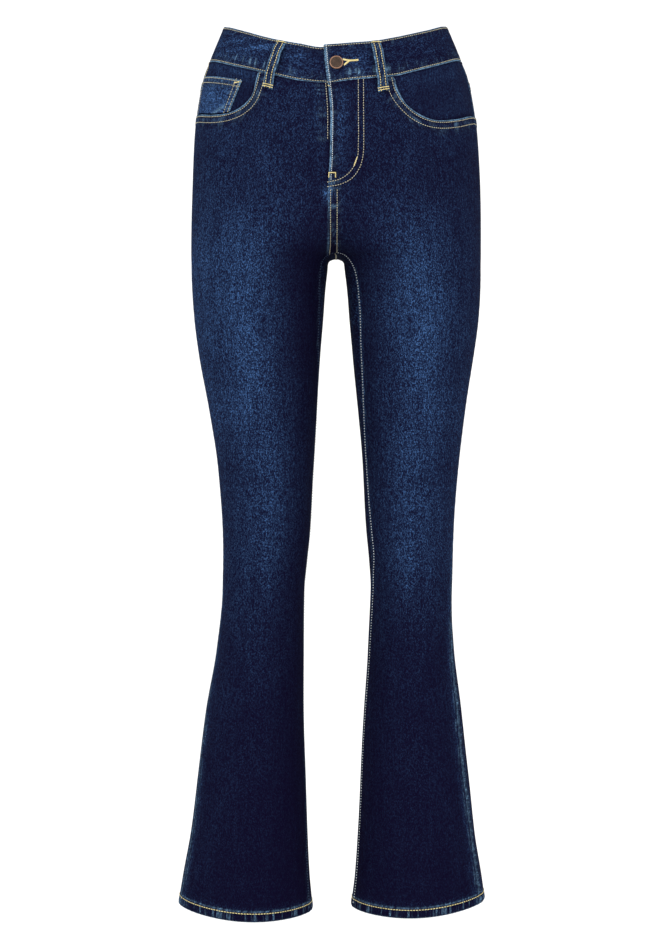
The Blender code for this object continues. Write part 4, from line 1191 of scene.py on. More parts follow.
def yoke_cloth(side):
    rows = np.linspace(0, 1, 5)
    top, foot = along_waistband(side, yoke_angles(side)), yoke_seam(side)
    height = np.linspace(top[0, 2], foot[0, 2], len(rows))
    inner = back_point(0 * height, height)
    outer = side_seam_point(side, np.linspace(top[-1, 2], foot[-1, 2], len(rows)))
    inner[0], inner[-1], outer[0], outer[-1] = top[0], foot[0], top[-1], foot[-1]
    coarse = fill(side, top, foot, inner, outer, PANEL_COLUMNS, rows)
    fine = finer(coarse, rows, PANEL_COLUMNS, close_at_ends(36, 0.5), close_at_ends(66))
    cloth = Cloth(f"yoke_cloth_{SIDE_NAMES[side]}", fine)
    cloth.u, cloth.v = unrolled(side, fine, False)
    cloth.lift = drape(fine)
    seed = 4.1 + side
    for edge in ("inner", "outer", "top", "foot"):
        cloth.roll_edge(edge, depth=0.3)
    cloth.fold_edge("foot", FELLED_WIDTH, SEAM_RIDGE)
    for distance_in in FELLED_ROWS:
        cloth.sewn("foot", distance_in, seed=seed + distance_in, worn=0.4)
    cloth.worn_edge("foot", 0.7, seed=seed)
    cloth.fold_edge("outer", SIDE_RIDGE_WIDTH, SIDE_RIDGE)
    cloth.worn_edge("outer", 0.35, seed=seed)
    if side == LEFT:
        cloth.fold_edge("inner", FELLED_WIDTH, SEAM_RIDGE)
        cloth.worn_edge("inner", 0.7, seed=seed)
    cloth.fade = 0.09 + 0.10 * bump(side * fine[..., 0], 70.0, 50.0)
    # Painted shade under the waistband.
    cloth.shaded("top", 0.7, reach=4.0)
    return cloth


def waistband_grid():
    """The points of the strip all the way round, and how far each column is sunk behind the over end."""
    rows = close_at_ends(34, 0.6)[:, None]
    strips, sunk = {}, {}
    for side in (LEFT, RIGHT):
        knots = [front_angles(side), facing_angles(side)[1:], yoke_angles(side)[::-1][1:]]
        knots = np.concatenate(knots if side == LEFT else [UNDER_END_ANGLES, *knots])
        ends = knots[0], knots[-1]
        angles = np.linspace(*ends, int(abs(ends[1] - ends[0]) * 2.6 / POINT_STEP))
        lean = OVER_END_LEAN * smooth_step((knots[0] + 9 - angles) / 9) * (side == LEFT)
        top, foot = waist_height(side, angles), band_foot_height(side, angles) + 0.3
        foot = foot - CORNER_DROOP * smooth_step((knots[0] + 10 - angles) / 10) * (side == LEFT)
        strips[side] = around_leg(side, angles - lean * (1 - rows), top + (foot - top) * rows)
        step_in = smooth_step((STEP_IN_ANGLE - angles) / STEP_IN_TURN) * (side == RIGHT)
        sunk[side] = (BAND_WALL + 0.5) * step_in
    grid = np.concatenate([strips[LEFT], strips[RIGHT][:, ::-1][:, 1:]], axis=1)
    return grid, np.concatenate([sunk[LEFT], sunk[RIGHT][::-1][1:]])


def waistband_cloth():
    """One strip all the way round. Its left end laps over its right end, which steps in behind it."""
    grid, sunk = waistband_grid()
    cloth = Cloth("waistband_cloth", grid)
    cloth.lift = BAND_PROUD - sunk[None] + 0 * cloth.from_top
    length, down = cloth.from_inner.mean(axis=0) + 0 * cloth.from_top, cloth.from_top
    cloth.u, cloth.v = down, length
    for edge, depth in (("top", 0.9), ("foot", 0.5), ("inner", 0.7), ("outer", 0.7)):
        cloth.roll_edge(edge, depth=depth)
    cloth.sewn("top", BAND_TOP_ROW, pitch=6.6, seed=0.3, worn=0.25)
    cloth.sewn("foot", BAND_FOOT_ROW, pitch=6.6, seed=1.3, worn=0.25)
    cloth.sewn("inner", BAND_END_ROW, pitch=7.0, seed=2.3, worn=0.3)
    cloth.lift += 0.35 * np.sin(length / 19) * np.sin(np.pi * down / 44) * np.sin(length / 47)
    cloth.worn_edge("top", 0.55, reach=1.3, seed=0.8)
    cloth.wear += 1.2 * bump(length, 1.6, 1.7) * (0.6 + 0.4 * pucker(down, 4.4, 1.8))
    cloth.worn_edge("foot", 1.3, reach=0.8, seed=2.8)
    ladder = np.clip(pucker(length + 0.25 * down, 7.6, 5.1), 0, 1) ** 2
    low = bump(cloth.from_foot, 8.5, 4.0)
    stretch = 0.5 + 0.5 * np.sin(length / 37 + 0.9)
    cloth.wear += 0.15 * ladder * low * stretch
    cloth.ropes -= 0.5 * low * stretch * smooth_step((45 - grid[..., 1]) / 30)
    scratch = pucker(length + 1.3 * down, 9.3, 2.7) * pucker(length - 1.1 * down, 12.1, 0.2)
    cloth.fade += 0.30 * np.clip(scratch, 0, 1) * bump(down, 17.0, 10.0)
    cloth.lift += 0.22 * low * (ladder - 0.4)
    blotch = np.clip(pucker(length * 0.55 + 1.7 * down, 23.0, 7.7), 0, 1)
    on_right = smooth_step((-grid[..., 0] - 20) / 30)
    ahead = smooth_step((20 - grid[..., 1]) / 30)
    cloth.fade += 0.10 + 0.10 * on_right * ahead + (0.10 + 0.26 * on_right) * blotch * bump(down, 16.0, 13.0)
    cloth.fade += 0.12 * ahead * bump(grid[..., 0], 24.0, 14.0)
    # Painted shade beside the top and foot rows of stitches.
    cloth.deep += 0.4 * bump(down, 5.0, 1.6) + 0.35 * bump(cloth.from_foot, 5.2, 1.6)
    return cloth


def end_on_side_seam(side, grid):
    """Moves a grid's last column onto the side seam."""
    grid[:, -1] = side_seam_point(side, grid[:, -1, 2])


def facing_cloth(side):
    """The denim inside a front pocket's mouth. Its foot runs down behind the front."""
    angles = facing_angles(side)
    inner = leg_panel(side, "front")[0][:, PANEL_SPLIT:]
    columns, knots = close_at_ends(40, 0.5), np.linspace(0, 1, len(angles))
    top = along(along_waistband(side, angles), knots, columns)
    mouth, below = along(inner[0], knots, columns), along(inner[1], knots, columns)
    foot = mouth + 0.35 * (below - mouth)
    rows = close_at_ends(30, 0.3)[:, None, None]
    grid = onto_surface(top[None] * (1 - rows) + foot[None] * rows, 4)
    end_on_side_seam(side, grid)
    cloth = Cloth(f"pocket_facing_cloth_{SIDE_NAMES[side]}", grid)
    cloth.u, cloth.v = unrolled(side, grid)
    rise = FACING_DEPTH - 0.3
    cloth.lift -= FACING_DEPTH
    cloth.lift += rise * np.exp(-((cloth.from_top / 5.0) ** 2))
    cloth.lift += rise * np.exp(-((cloth.from_outer / 5.0) ** 2)) * smooth_step((cloth.from_foot - 6) / 8)
    cloth.roll_edge("top", depth=0.3)
    cloth.roll_edge("outer", depth=0.3)
    cloth.fade = 0.12 + 0.05 * bump(cloth.from_top, 12.0, 10.0)
    cloth.worn_edge("outer", 0.35, seed=3.3 + side)
    cloth.fade += (side == RIGHT) * 0.15 * bump(cloth.from_top, 5.0, 5.0)
    # Painted shade under the waistband and where the front's pocket mouth laps over the facing.
    cloth.shaded("top", 0.5, reach=2.0)
    cloth.shaded(off_line(grid, pocket_line(side), 12.0), 0.9, reach=3.0)
    return cloth


def coin_pocket_cloth():
    mouth = pocket_line(RIGHT)
    mouth = mouth[mouth[:, 0] < -COIN_POCKET_FOOT_X]
    columns = close_at_ends(40, 0.6)
    across, rows = columns[:, None], columns[:, None, None]
    foot = spread(mouth, columns) + points(0, 0, COIN_POCKET_ABOVE_MOUTH)
    inner_top = front_point(-COIN_POCKET_TOP_X, COIN_POCKET_TOP)
    side_top = side_seam_point(RIGHT, COIN_POCKET_SIDE_TOP)
    outward = points(-COIN_POCKET_OUTWARD, -COIN_POCKET_OUTWARD, 0) * across * (1 - across)
    top = onto_surface(inner_top * (1 - across) + side_top * across + outward)
    grid = onto_surface(top[None] * (1 - rows) + foot[None] * rows)
    end_on_side_seam(RIGHT, grid)
    cloth = Cloth("coin_pocket_cloth", grid)
    cloth.u, cloth.v = unrolled(RIGHT, grid)
    cloth.lift += -FACING_DEPTH + PATCH_LIFT + COIN_POCKET_WALL
    cloth.lift += 0.5 * np.sin(np.pi * np.clip(cloth.from_inner / 34, 0, 1))
    for edge in ("inner", "top"):
        cloth.roll_edge(edge, depth=0.5)
        cloth.fold_edge(edge, 9.0, 0.35)
        for distance_in in COIN_ROWS:
            cloth.sewn(edge, distance_in, seed=distance_in, worn=0.35)
        cloth.worn_edge(edge, 0.7, seed=2.2)
    cloth.roll_edge("outer", depth=0.3)
    cloth.sewn("outer", COIN_SIDE_ROW, pitch=6.5, seed=6.1, worn=0.6)
    low_left = cloth.from_foot + 0.5 * cloth.from_inner
    blotch = pucker(cloth.from_inner + 0.6 * cloth.from_top, 17.0, 2.9) * pucker(cloth.from_top, 13.0, 0.7)
    cloth.fade = 0.56 + 0.22 * blotch - 0.22 * bump(cloth.from_top, 8.0, 7.0)
    cloth.wear += 0.45 * bump(low_left, 13.0, 2.2) * smooth_step((cloth.from_inner - 6) / 8)
    return cloth


def back_pocket_cloth(side):
    across, down = close_at_ends(56, 0.6) * 2 - 1, close_at_ends(60, 0.6)
    seam = yoke_seam(side)
    seam_fall = (seam[-1, 2] - seam[0, 2]) / abs(seam[-1, 0])
    coarse_u, coarse_v = np.linspace(-1, 1, 9), np.linspace(0, 1, 7)
    coarse = np.zeros((len(coarse_v), len(coarse_u), 3))
    for r, v in enumerate(coarse_v):
        half_width = (BACK_POCKET_WIDTH * (1 - v) + BACK_POCKET_FOOT_WIDTH * v) / 2
        for c, u in enumerate(coarse_u):
            from_seam = BACK_POCKET_CENTRE + u * half_width
            top = seam[0, 2] + seam_fall * from_seam - BACK_POCKET_BELOW_YOKE
            height = top - v * (BACK_POCKET_SIDE + BACK_POCKET_POINT * (1 - abs(u)))
            coarse[r, c] = back_at(side, from_seam, height)
    fine = finer(coarse, coarse_v, coarse_u, down, across)
    cloth = Cloth(f"back_pocket_cloth_{SIDE_NAMES[side]}", fine)
    cloth.u, cloth.v = unrolled(side, fine, False)
    cloth.lift += BACK_POCKET_LIFT + POCKET_DENIM + drape(fine)
    seed = 5.0 + side
    for edge in ("inner", "outer", "foot"):
        cloth.roll_edge(edge, depth=0.7)
        cloth.fold_edge(edge, 8.5, 0.4)
        for distance_in in BACK_POCKET_ROWS:
            cloth.sewn(edge, distance_in, seed=seed + distance_in, worn=0.4)
        cloth.worn_edge(edge, 0.85, seed=seed)
    cloth.roll_edge("top", depth=0.8)
    cloth.fold_edge("top", 13.0, 0.6)
    for distance_in in BACK_POCKET_TOP_ROWS:
        cloth.sewn("top", distance_in, seed=seed + distance_in, worn=0.4)
    cloth.worn_edge("top", 0.9, seed=seed)
    cloth.lift += 0.5 * bump(cloth.from_inner, 60.0, 40.0) * bump(cloth.from_top, 50.0, 45.0)
    cloth.fade = 0.10 + 0.22 * bump(cloth.from_inner, 64.0, 40.0) * bump(cloth.from_top, 74.0, 46.0)
    return cloth


# Meshes.
def shell_mesh(cloth, thickness):
    """A closed wall: the lifted points outside, and the same points moved in by the thickness."""
    inside = cloth.p + (np.minimum(cloth.lift, cloth.lift * 0.4) - thickness)[..., None] * cloth.way
    return wall_mesh(cloth, cloth.outside(), inside)


def wall_mesh(piece, outside, inside):
    """A closed wall between two grids of points, with the piece's place on its cloth, how it is worn and
    where shade is painted on it.
    """
    rows, columns = outside.shape[:2]
    a = np.arange(rows * columns).reshape(rows, columns)
    b = a + rows * columns
    outer_quads = np.stack([a[:-1, :-1], a[:-1, 1:], a[1:, 1:], a[1:, :-1]], axis=-1).reshape(-1, 4)
    inner_quads = np.stack([b[:-1, :-1], b[1:, :-1], b[1:, 1:], b[:-1, 1:]], axis=-1).reshape(-1, 4)
    rim = np.concatenate([a[0], a[1:, -1], a[-1, -2::-1], a[-2:0:-1, 0]])
    following = np.roll(rim, -1)
    rim_quads = np.stack([following, rim, rim + rows * columns, following + rows * columns], axis=-1)
    quads = np.concatenate([outer_quads, rim_quads, inner_quads])
    r, c = rows // 2, columns // 2
    middle, across, down = outside[r, c], outside[r, c + 1], outside[r + 1, c]
    if np.dot(np.cross(across - middle, down - middle), middle - inside[r, c]) < 0:
        quads = quads[:, ::-1]
    mesh = bpy.data.meshes.new(piece.name)
    verts = np.concatenate([outside.reshape(-1, 3), inside.reshape(-1, 3)]) * MM
    mesh.from_pydata(verts.tolist(), [], quads.tolist())
    mesh.shade_smooth()
    mesh.set_sharp_from_angle(angle=math.radians(SHARP_FOLD))
    uv = np.tile(np.stack([piece.u, piece.v], axis=-1).reshape(-1, 2), (2, 1)) * MM
    layer = mesh.uv_layers.new(name="cloth")
    layer.data.foreach_set("uv", uv[quads.reshape(-1)].astype(np.float32).reshape(-1))
    for name in WEAR_AND_SHADE_KINDS:
        values = np.broadcast_to(np.clip(getattr(piece, name), -1, 1), (rows, columns)).reshape(-1)
        add_values(mesh, name, np.tile(values, 2))
    slots = np.zeros(len(quads), np.int32)
    slots[len(outer_quads) + len(rim_quads) :] = 1
    mesh.polygons.foreach_set("material_index", slots)
    return mesh


def add_values(mesh, name, values):
    """Writes a number, or a vector of three, at each point of a mesh."""
    kind, field = ("FLOAT_VECTOR", "vector") if values.ndim > 1 else ("FLOAT", "value")
    attribute = mesh.attributes.new(name, kind, "POINT")
    attribute.data.foreach_set(field, values.astype(np.float32).reshape(-1))


def add_object(name, mesh, *materials):
    obj = bpy.data.objects.new(name, mesh)
    bpy.context.scene.collection.objects.link(obj)
    for material in materials:
        mesh.materials.append(material)
    return obj


# The pieces of cloth made so far, for rows of stitches that run over more than one.
CLOTHS = {}


def add_cloth(cloth, thickness, node, outer="worn_denim"):
    """Adds a piece of cloth in place of its solid."""
    obj = add_object(cloth.name, shell_mesh(cloth, thickness), finish(outer), finish("inside_denim"))
    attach(obj, "root")
    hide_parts(node)
    CLOTHS[cloth.name] = cloth


# Stitching.
def beside(cloth, edge, distance_in, start=0.0, end=1.0, lift=0.15):
    """A row of stitches at a distance in from an edge, the same all along or one for each line of points."""
    turned = edge in ("top", "foot")
    flip = (lambda a: np.swapaxes(a, 0, 1)) if turned else (lambda a: a)
    away, p, way = (flip(a) for a in (cloth.edge(edge)[0], cloth.outside(), cloth.way))
    if away[0, 0] > away[0, -1]:
        away, p, way = away[:, ::-1], p[:, ::-1], way[:, ::-1]
    lines = range(int(round(start * (len(p) - 1))), int(round(end * (len(p) - 1))) + 1)
    far = np.broadcast_to(distance_in, len(p))
    read = [[[np.interp(far[r], away[r], v[r, :, i]) for i in range(3)] for r in lines] for v in (p, way)]
    points_out, ways = np.array(read[0]), unit(np.array(read[1]))
    return points_out + lift * ways, ways


def on_cloth(cloth, line, lift=0.15):
    """A drawn line put on the outside of one or more pieces of cloth, on the top layer where they lap."""
    pieces = cloth if isinstance(cloth, tuple) else (cloth,)
    places = np.concatenate([piece.p.reshape(-1, 3) for piece in pieces])
    ways = np.concatenate([piece.way.reshape(-1, 3) for piece in pieces])
    lifts = np.concatenate([piece.lift.reshape(-1) for piece in pieces])
    tree = search_tree(places)
    high, out = np.zeros(len(line)), np.zeros((len(line), 3))
    for row, place in enumerate(line):
        near = tree.find_n(place, 6)
        index = np.array([i for _, i, _ in near])
        weight = 1 / (np.array([d for _, _, d in near]) + 0.3)
        weight = weight * (lifts[index] > lifts[index].max() - 1.2)
        high[row] = (weight * lifts[index]).sum() / weight.sum()
        out[row] = (weight[:, None] * ways[index]).sum(axis=0)
    out = unit(out)
    return line + (high + lift)[:, None] * out, out


def moved_in(line, side, amount):
    """A line on the form moved sideways on it: away from the pocket, for a front pocket's mouth."""
    along_line = unit(np.gradient(line, axis=0))
    return onto_surface(line - side * amount * unit(np.cross(normals(line), along_line)))


def new_node(tree, kind, values=(), **settings):
    """Adds a node with its settings, and the values of inputs that nothing is linked to."""
    node = tree.nodes.new(kind)
    for name, setting in settings.items():
        setattr(node, name, setting)
    for socket, value in dict(values).items():
        node.inputs[socket].default_value = value
    return node


def wire(tree, *links):
    """Links nodes, each from one node's socket to another's, by the sockets' names or numbers."""
    for source, out, target, into in links:
        tree.links.new(source.outputs[out], target.inputs[into])


def declare(tree, direction, *sockets):
    """Gives a tree its sockets, each with its name, its kind and, where it needs one, its default."""
    for name, kind, *default in sockets:
        socket = tree.interface.new_socket(name, in_out=direction, socket_type=f"NodeSocket{kind}")
        if default:
            socket.default_value = default[0]


def row_tree(name, lines, numbers, material, result):
    """Geometry nodes that repeat a piece along lines at a pitch, all but the piece and how it is turned.

    Gives back the tree, the node with its inputs, and the one that sets a piece at each step.
    """
    tree = bpy.data.node_groups.new(name, "GeometryNodeTree")
    declare(tree, "INPUT", (lines, "Geometry"), *numbers, (material, "Material"))
    declare(tree, "OUTPUT", (result, "Geometry"))
    entry, leave = new_node(tree, "NodeGroupInput"), new_node(tree, "NodeGroupOutput")
    kinds = ("MeshToCurve", "ResampleCurve", "InstanceOnPoints", "RealizeInstances", "SetMaterial")
    curve, resample, place, real, paint = (new_node(tree, f"GeometryNode{kind}") for kind in kinds)
    resample.mode = "LENGTH"
    wire(
        tree,
        (entry, lines, curve, "Mesh"),
        (curve, "Curve", resample, "Curve"),
        (entry, "Pitch", resample, "Length"),
        (resample, "Curve", place, "Points"),
        (place, "Instances", real, "Geometry"),
        (real, "Geometry", paint, "Geometry"),
        (entry, material, paint, "Material"),
        (paint, "Geometry", leave, result),
    )
    return tree, entry, place


def stitch_tree():
    """Geometry nodes that sew stitches along every line of a mesh."""
    numbers = [(name, "Float") for name in ("Pitch", "Length", "Width", "Height", "Turn")]
    tree, entry, place = row_tree("Stitch rows", "Lines", [*numbers, ("Seed", "Int")], "Thread", "Stitches")
    node = functools.partial(new_node, tree)
    stitch = node("GeometryNodeMeshUVSphere", {"Segments": 6, "Rings": 4, "Radius": 0.5})
    tangent = node("GeometryNodeInputTangent")
    out = node("GeometryNodeInputNamedAttribute", {"Name": "way"}, data_type="FLOAT_VECTOR")
    ahead = node("FunctionNodeAlignRotationToVector", axis="X")
    upright = node("FunctionNodeAlignRotationToVector", axis="Z", pivot_axis="X")
    uneven = node("FunctionNodeRandomValue", {2: -STITCH_SWING, 3: STITCH_SWING})
    turn, spin = node("ShaderNodeMath", operation="ADD"), node("ShaderNodeCombineXYZ")
    about = node("FunctionNodeRotateRotation", rotation_space="LOCAL")
    size = node("ShaderNodeCombineXYZ")
    wire(
        tree,
        (tangent, "Tangent", ahead, "Vector"),
        (ahead, "Rotation", upright, "Rotation"),
        (out, "Attribute", upright, "Vector"),
        (entry, "Seed", uneven, "Seed"),
        (uneven, 1, turn, 0),
        (entry, "Turn", turn, 1),
        (turn, 0, spin, "Z"),
        (upright, "Rotation", about, "Rotation"),
        (spin, 0, about, "Rotate By"),
        (entry, "Length", size, "X"),
        (entry, "Width", size, "Y"),
        (entry, "Height", size, "Z"),
        (stitch, "Mesh", place, "Instance"),
        (about, "Rotation", place, "Rotation"),
        (size, 0, place, "Scale"),
    )
    return tree


def set_inputs(modifier, **values):
    """Sets a Geometry Nodes modifier's inputs by name, through each socket's identifier."""
    for item in modifier.node_group.interface.items_tree:
        if item.item_type == "SOCKET" and item.in_out == "INPUT" and item.name in values:
            modifier[item.identifier] = values[item.name]


def made_real(obj, modifier):
    """The object with its modifier's result as a plain mesh."""
    graph = bpy.context.evaluated_depsgraph_get()
    mesh = bpy.data.meshes.new_from_object(obj.evaluated_get(graph))
    obj.modifiers.remove(modifier)
    mesh.name = obj.data.name
    old, obj.data = obj.data, mesh
    bpy.data.meshes.remove(old)
    return obj


def sew(name, rows, thread="gold_thread", size=USUAL_STITCH, turn=0.0, seed=1):
    """Sews stitches along rows of points, as one piece."""
    sizes = bpy.context.scene.jeans_sizes
    usual = (sizes.stitch_pitch, sizes.stitch_length, sizes.thread_width, sizes.thread_width * 0.8)
    sizes = [own * MM if own else common for own, common in zip(size, usual)]
    verts = np.concatenate([p for p, _ in rows])
    ways = np.concatenate([way for _, way in rows])
    counts = np.cumsum([0] + [len(p) for p, _ in rows])
    edges = [(i, i + 1) for a, b in zip(counts[:-1], counts[1:]) for i in range(a, b - 1)]
    mesh = bpy.data.meshes.new(name)
    mesh.from_pydata((verts * MM).tolist(), edges, [])
    add_values(mesh, "way", ways)
    obj = add_object(name, mesh)
    modifier = obj.modifiers.new("Stitches", "NODES")
    modifier.node_group = bpy.data.node_groups.get("Stitch rows") or stitch_tree()
    set_inputs(modifier, **dict(zip(("Pitch", "Length", "Width", "Height"), sizes)))
    set_inputs(modifier, Turn=turn, Seed=seed, Thread=finish(thread))
    made_real(obj, modifier)
    obj.data.shade_smooth()
    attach(obj, "root")


def tack(name, bars):
    """Bartacks: each a short bar, sewn over with close stitches that lie across it."""
    rows = []
    for cloth, start, end in bars:
        start, end = np.array(start, float), np.array(end, float)
        rows.append(on_cloth(cloth, start[None] + (end - start)[None] * np.linspace(0, 1, 9)[:, None], 0.35))
    sew(name, rows, "gold_thread", TACK_STITCH, ACROSS)


# Materials. How strongly each kind of unevenness shows in the denim: single yarn floats, thick places in the
# yarns, long light streaks and broad clouds. BRIGHTEST is the strongest that a fade can come out.
FLOAT_SHARE = 3.2
SLUB_SHARE = 1.0
STREAK_SHARE = 1.1
CLOUD_SHARE = 0.9
BRIGHTEST = 2.2


def worn_denim_group():
    """The look of denim: dark indigo yarns, specked with paler ones by fading and rubbed white by wear, and
    held dark where shade is painted (Deep).
    """
    group = bpy.data.node_groups.new("Worn denim", "ShaderNodeTree")
    declare(
        group,
        "INPUT",
        ("Indigo", "Color", (0.0034, 0.0020, 0.0125, 1)),
        ("Faded", "Color", (0.029, 0.068, 0.168, 1)),
        ("Pale", "Color", (0.15, 0.28, 0.43, 1)),
        *((name.capitalize(), "Float", 0.0) for name in WEAR_AND_SHADE_KINDS),
        ("Contrast", "Float", 1.0),
        ("Twill pitch", "Float", 0.0011),
    )
    declare(group, "OUTPUT", ("Color", "Color"), ("Roughness", "Float"), ("Height", "Float"))
    node, link = functools.partial(new_node, group), group.links.new
    entry, leave = node("NodeGroupInput"), node("NodeGroupOutput")
    uv = node("ShaderNodeUVMap", uv_map="cloth")

    def noise(across, down, detail=1.0):
        """Noise with this many cells in each metre of cloth, across it and down it."""
        stretch = node("ShaderNodeMapping", {"Scale": (across, down, 1)})
        values = {"Scale": 1.0, "Detail": detail, "Roughness": 0.5}
        cells = node("ShaderNodeTexNoise", values, noise_dimensions="2D")
        wire(group, (uv, 0, stretch, "Vector"), (stretch, 0, cells, "Vector"))
        return cells.outputs["Fac"]

    def calc(kind, a, b=None, c=None, clamp=False):
        sum_node = node("ShaderNodeMath", operation=kind, use_clamp=clamp)
        for i, value in enumerate((a, b, c)):
            if isinstance(value, (int, float)):
                sum_node.inputs[i].default_value = value
            elif value is not None:
                link(value, sum_node.inputs[i])
        return sum_node.outputs[0]

    def centred(value, amount):
        return calc("MULTIPLY", calc("SUBTRACT", value, 0.5), amount)

    def blend(factor, a, b):
        mix = node("ShaderNodeMix", data_type="RGBA", clamp_factor=False)
        for name, source in (("Factor", factor), ("A", a), ("B", b)):
            link(source, mix.inputs[name])
        return mix.outputs["Result"]

    fade, wear, deep, ropes, pitch = (
        entry.outputs[name] for name in ("Fade", "Wear", "Deep", "Ropes", "Twill pitch")
    )
    warp_slub, weft_slub = noise(820, 170), noise(170, 820)
    cloud, streak = noise(26, 17, 3.0), noise(330, 15, 2.0)
    split = node("ShaderNodeSeparateXYZ")
    wire(group, (uv, 0, split, 0))
    across, down = split.outputs["X"], split.outputs["Y"]
    turns = calc("DIVIDE", calc("MULTIPLY", calc("ADD", across, down), 2 * math.pi), pitch)
    twill = calc("MULTIPLY_ADD", calc("SINE", turns), 0.5, 0.5)
    # Each warp yarn comes up over the weft in short floats, which lie a third lower than the last yarn's.
    yarn = calc("FLOOR", calc("DIVIDE", across, calc("MULTIPLY", pitch, 0.72)))
    lines_down = calc("DIVIDE", down, calc("MULTIPLY", pitch, 1.25))
    float_number = calc("FLOOR", calc("MULTIPLY_ADD", yarn, 0.37, lines_down))
    place, dyed = node("ShaderNodeCombineXYZ"), node("ShaderNodeTexWhiteNoise", noise_dimensions="2D")
    link(yarn, place.inputs["X"])
    link(float_number, place.inputs["Y"])
    wire(group, (place, 0, dyed, "Vector"))
    dye = dyed.outputs["Value"]
    texture = calc("ADD", centred(warp_slub, SLUB_SHARE), centred(weft_slub, SLUB_SHARE))
    texture = calc("MULTIPLY", calc("ADD", texture, centred(dye, FLOAT_SHARE)), entry.outputs["Contrast"])
    broad = calc("ADD", centred(cloud, CLOUD_SHARE), centred(streak, STREAK_SHARE))
    specks = calc("EXPONENT", calc("ADD", calc("ADD", texture, broad), -0.38))
    bright = calc("MULTIPLY", calc("ADD", calc("MAXIMUM", fade, 0.0), 0.020), specks)
    # Painted shade: where Deep is high, the fades and the wear are held back and the cloth stays dark indigo.
    unshaded_share = calc("SUBTRACT", 1.0, calc("MULTIPLY", deep, 0.9, clamp=True))
    amount = calc("MINIMUM", calc("MULTIPLY", bright, unshaded_share), BRIGHTEST)

    def crests(cells_across, cells_down, strength):
        """The worn crests of twisted cloth."""
        crest = calc("MULTIPLY_ADD", noise(cells_across, cells_down), 8.0, -4.6, clamp=True)
        return calc("MULTIPLY", crest, strength)

    # The crests run down the cloth where the ropes are more than 0, and across it where they are less.
    down_it = crests(270, 20, calc("MAXIMUM", ropes, 0.0))
    across_it = crests(20, 210, calc("MAXIMUM", calc("MULTIPLY", ropes, -1.0), 0.0))
    worn = calc("ADD", calc("MAXIMUM", wear, 0.0), calc("ADD", down_it, across_it))
    rub = calc("MULTIPLY", worn, calc("MULTIPLY_ADD", specks, 0.50, 0.42))
    rub = calc("MULTIPLY", rub, unshaded_share, clamp=True)
    blue = blend(amount, entry.outputs["Indigo"], entry.outputs["Faded"])
    relief = calc("ADD", calc("MULTIPLY", twill, 0.4), calc("MULTIPLY", warp_slub, 0.8))
    link(blend(rub, blue, entry.outputs["Pale"]), leave.inputs["Color"])
    link(calc("MULTIPLY_ADD", amount, -0.06, 0.94), leave.inputs["Roughness"])
    link(calc("ADD", relief, calc("MULTIPLY", dye, 0.5)), leave.inputs["Height"])
    return group


def new_material(name, **looks):
    """A new material, with its tree and its shader. An input's name has _ for each space."""
    material = bpy.data.materials.new(name)
    material.use_nodes = True
    shader = material.node_tree.nodes["Principled BSDF"]
    for socket, value in looks.items():
        shader.inputs[socket.replace("_", " ")].default_value = value
    return material, material.node_tree, shader


def denim(name, indigo, faded, pale, contrast=1.0):
    _, tree, shader = new_material(name, Specular_IOR_Level=0.01)
    group = new_node(tree, "ShaderNodeGroup")
    group.node_tree = bpy.data.node_groups.get("Worn denim") or worn_denim_group()
    for socket, colour in (("Indigo", indigo), ("Faded", faded), ("Pale", pale)):
        group.inputs[socket].default_value = (*colour, 1)
    group.inputs["Contrast"].default_value = contrast
    group.inputs["Twill pitch"].default_value = bpy.context.scene.jeans_sizes.twill_pitch
    for kind in WEAR_AND_SHADE_KINDS:
        read = new_node(tree, "ShaderNodeAttribute", attribute_name=kind)
        wire(tree, (read, "Fac", group, kind.capitalize()))
    relief = new_node(tree, "ShaderNodeBump", {"Strength": 0.55, "Distance": 0.0004})
    wire(
        tree,
        (group, "Color", shader, "Base Color"),
        (group, "Roughness", shader, "Roughness"),
        (group, "Height", relief, "Height"),
        (relief, "Normal", shader, "Normal"),
    )


def mix_by_noise(tree, shader, first, second, scale, detail=2.0):
    """Colours a shader with two colours, mixed by noise. Gives back the three nodes that do it."""
    place = new_node(tree, "ShaderNodeTexCoord")
    noise = new_node(tree, "ShaderNodeTexNoise", {"Scale": scale, "Detail": detail})
    mix = new_node(tree, "ShaderNodeMix", data_type="RGBA")
    mix.inputs["A"].default_value = (*first, 1)
    mix.inputs["B"].default_value = (*second, 1)
    wire(
        tree,
        (place, "Object", noise, "Vector"),
        (noise, "Fac", mix, "Factor"),
        (mix, "Result", shader, "Base Color"),
    )
    return place, noise, mix


def thread(name, colour, dulled):
    _, tree, shader = new_material(name, Roughness=0.6, Specular_IOR_Level=0.4)
    mix_by_noise(tree, shader, colour, dulled, 160.0)


def metal(name, colour, dark, rough, scale):
    """Metal with tarnish in its hollows. It is bright where the mesh says that it is rubbed."""
    _, tree, shader = new_material(name, Metallic=1.0, Roughness=rough)
    place, noise, mix = mix_by_noise(tree, shader, dark, colour, scale, 5.0)
    rub = new_node(tree, "ShaderNodeAttribute", attribute_name="rub")
    both = new_node(tree, "ShaderNodeMath", {1: 0.25}, operation="MULTIPLY_ADD", use_clamp=True)
    fine = new_node(tree, "ShaderNodeTexNoise", {"Scale": 1400.0})
    relief = new_node(tree, "ShaderNodeBump", {"Strength": 0.25, "Distance": 0.0001})
    wire(
        tree,
        (noise, "Fac", both, 0),
        (rub, "Fac", both, 2),
        (both, 0, mix, "Factor"),
        (place, "Object", fine, "Vector"),
        (fine, "Fac", relief, "Height"),
        (relief, "Normal", shader, "Normal"),
    )


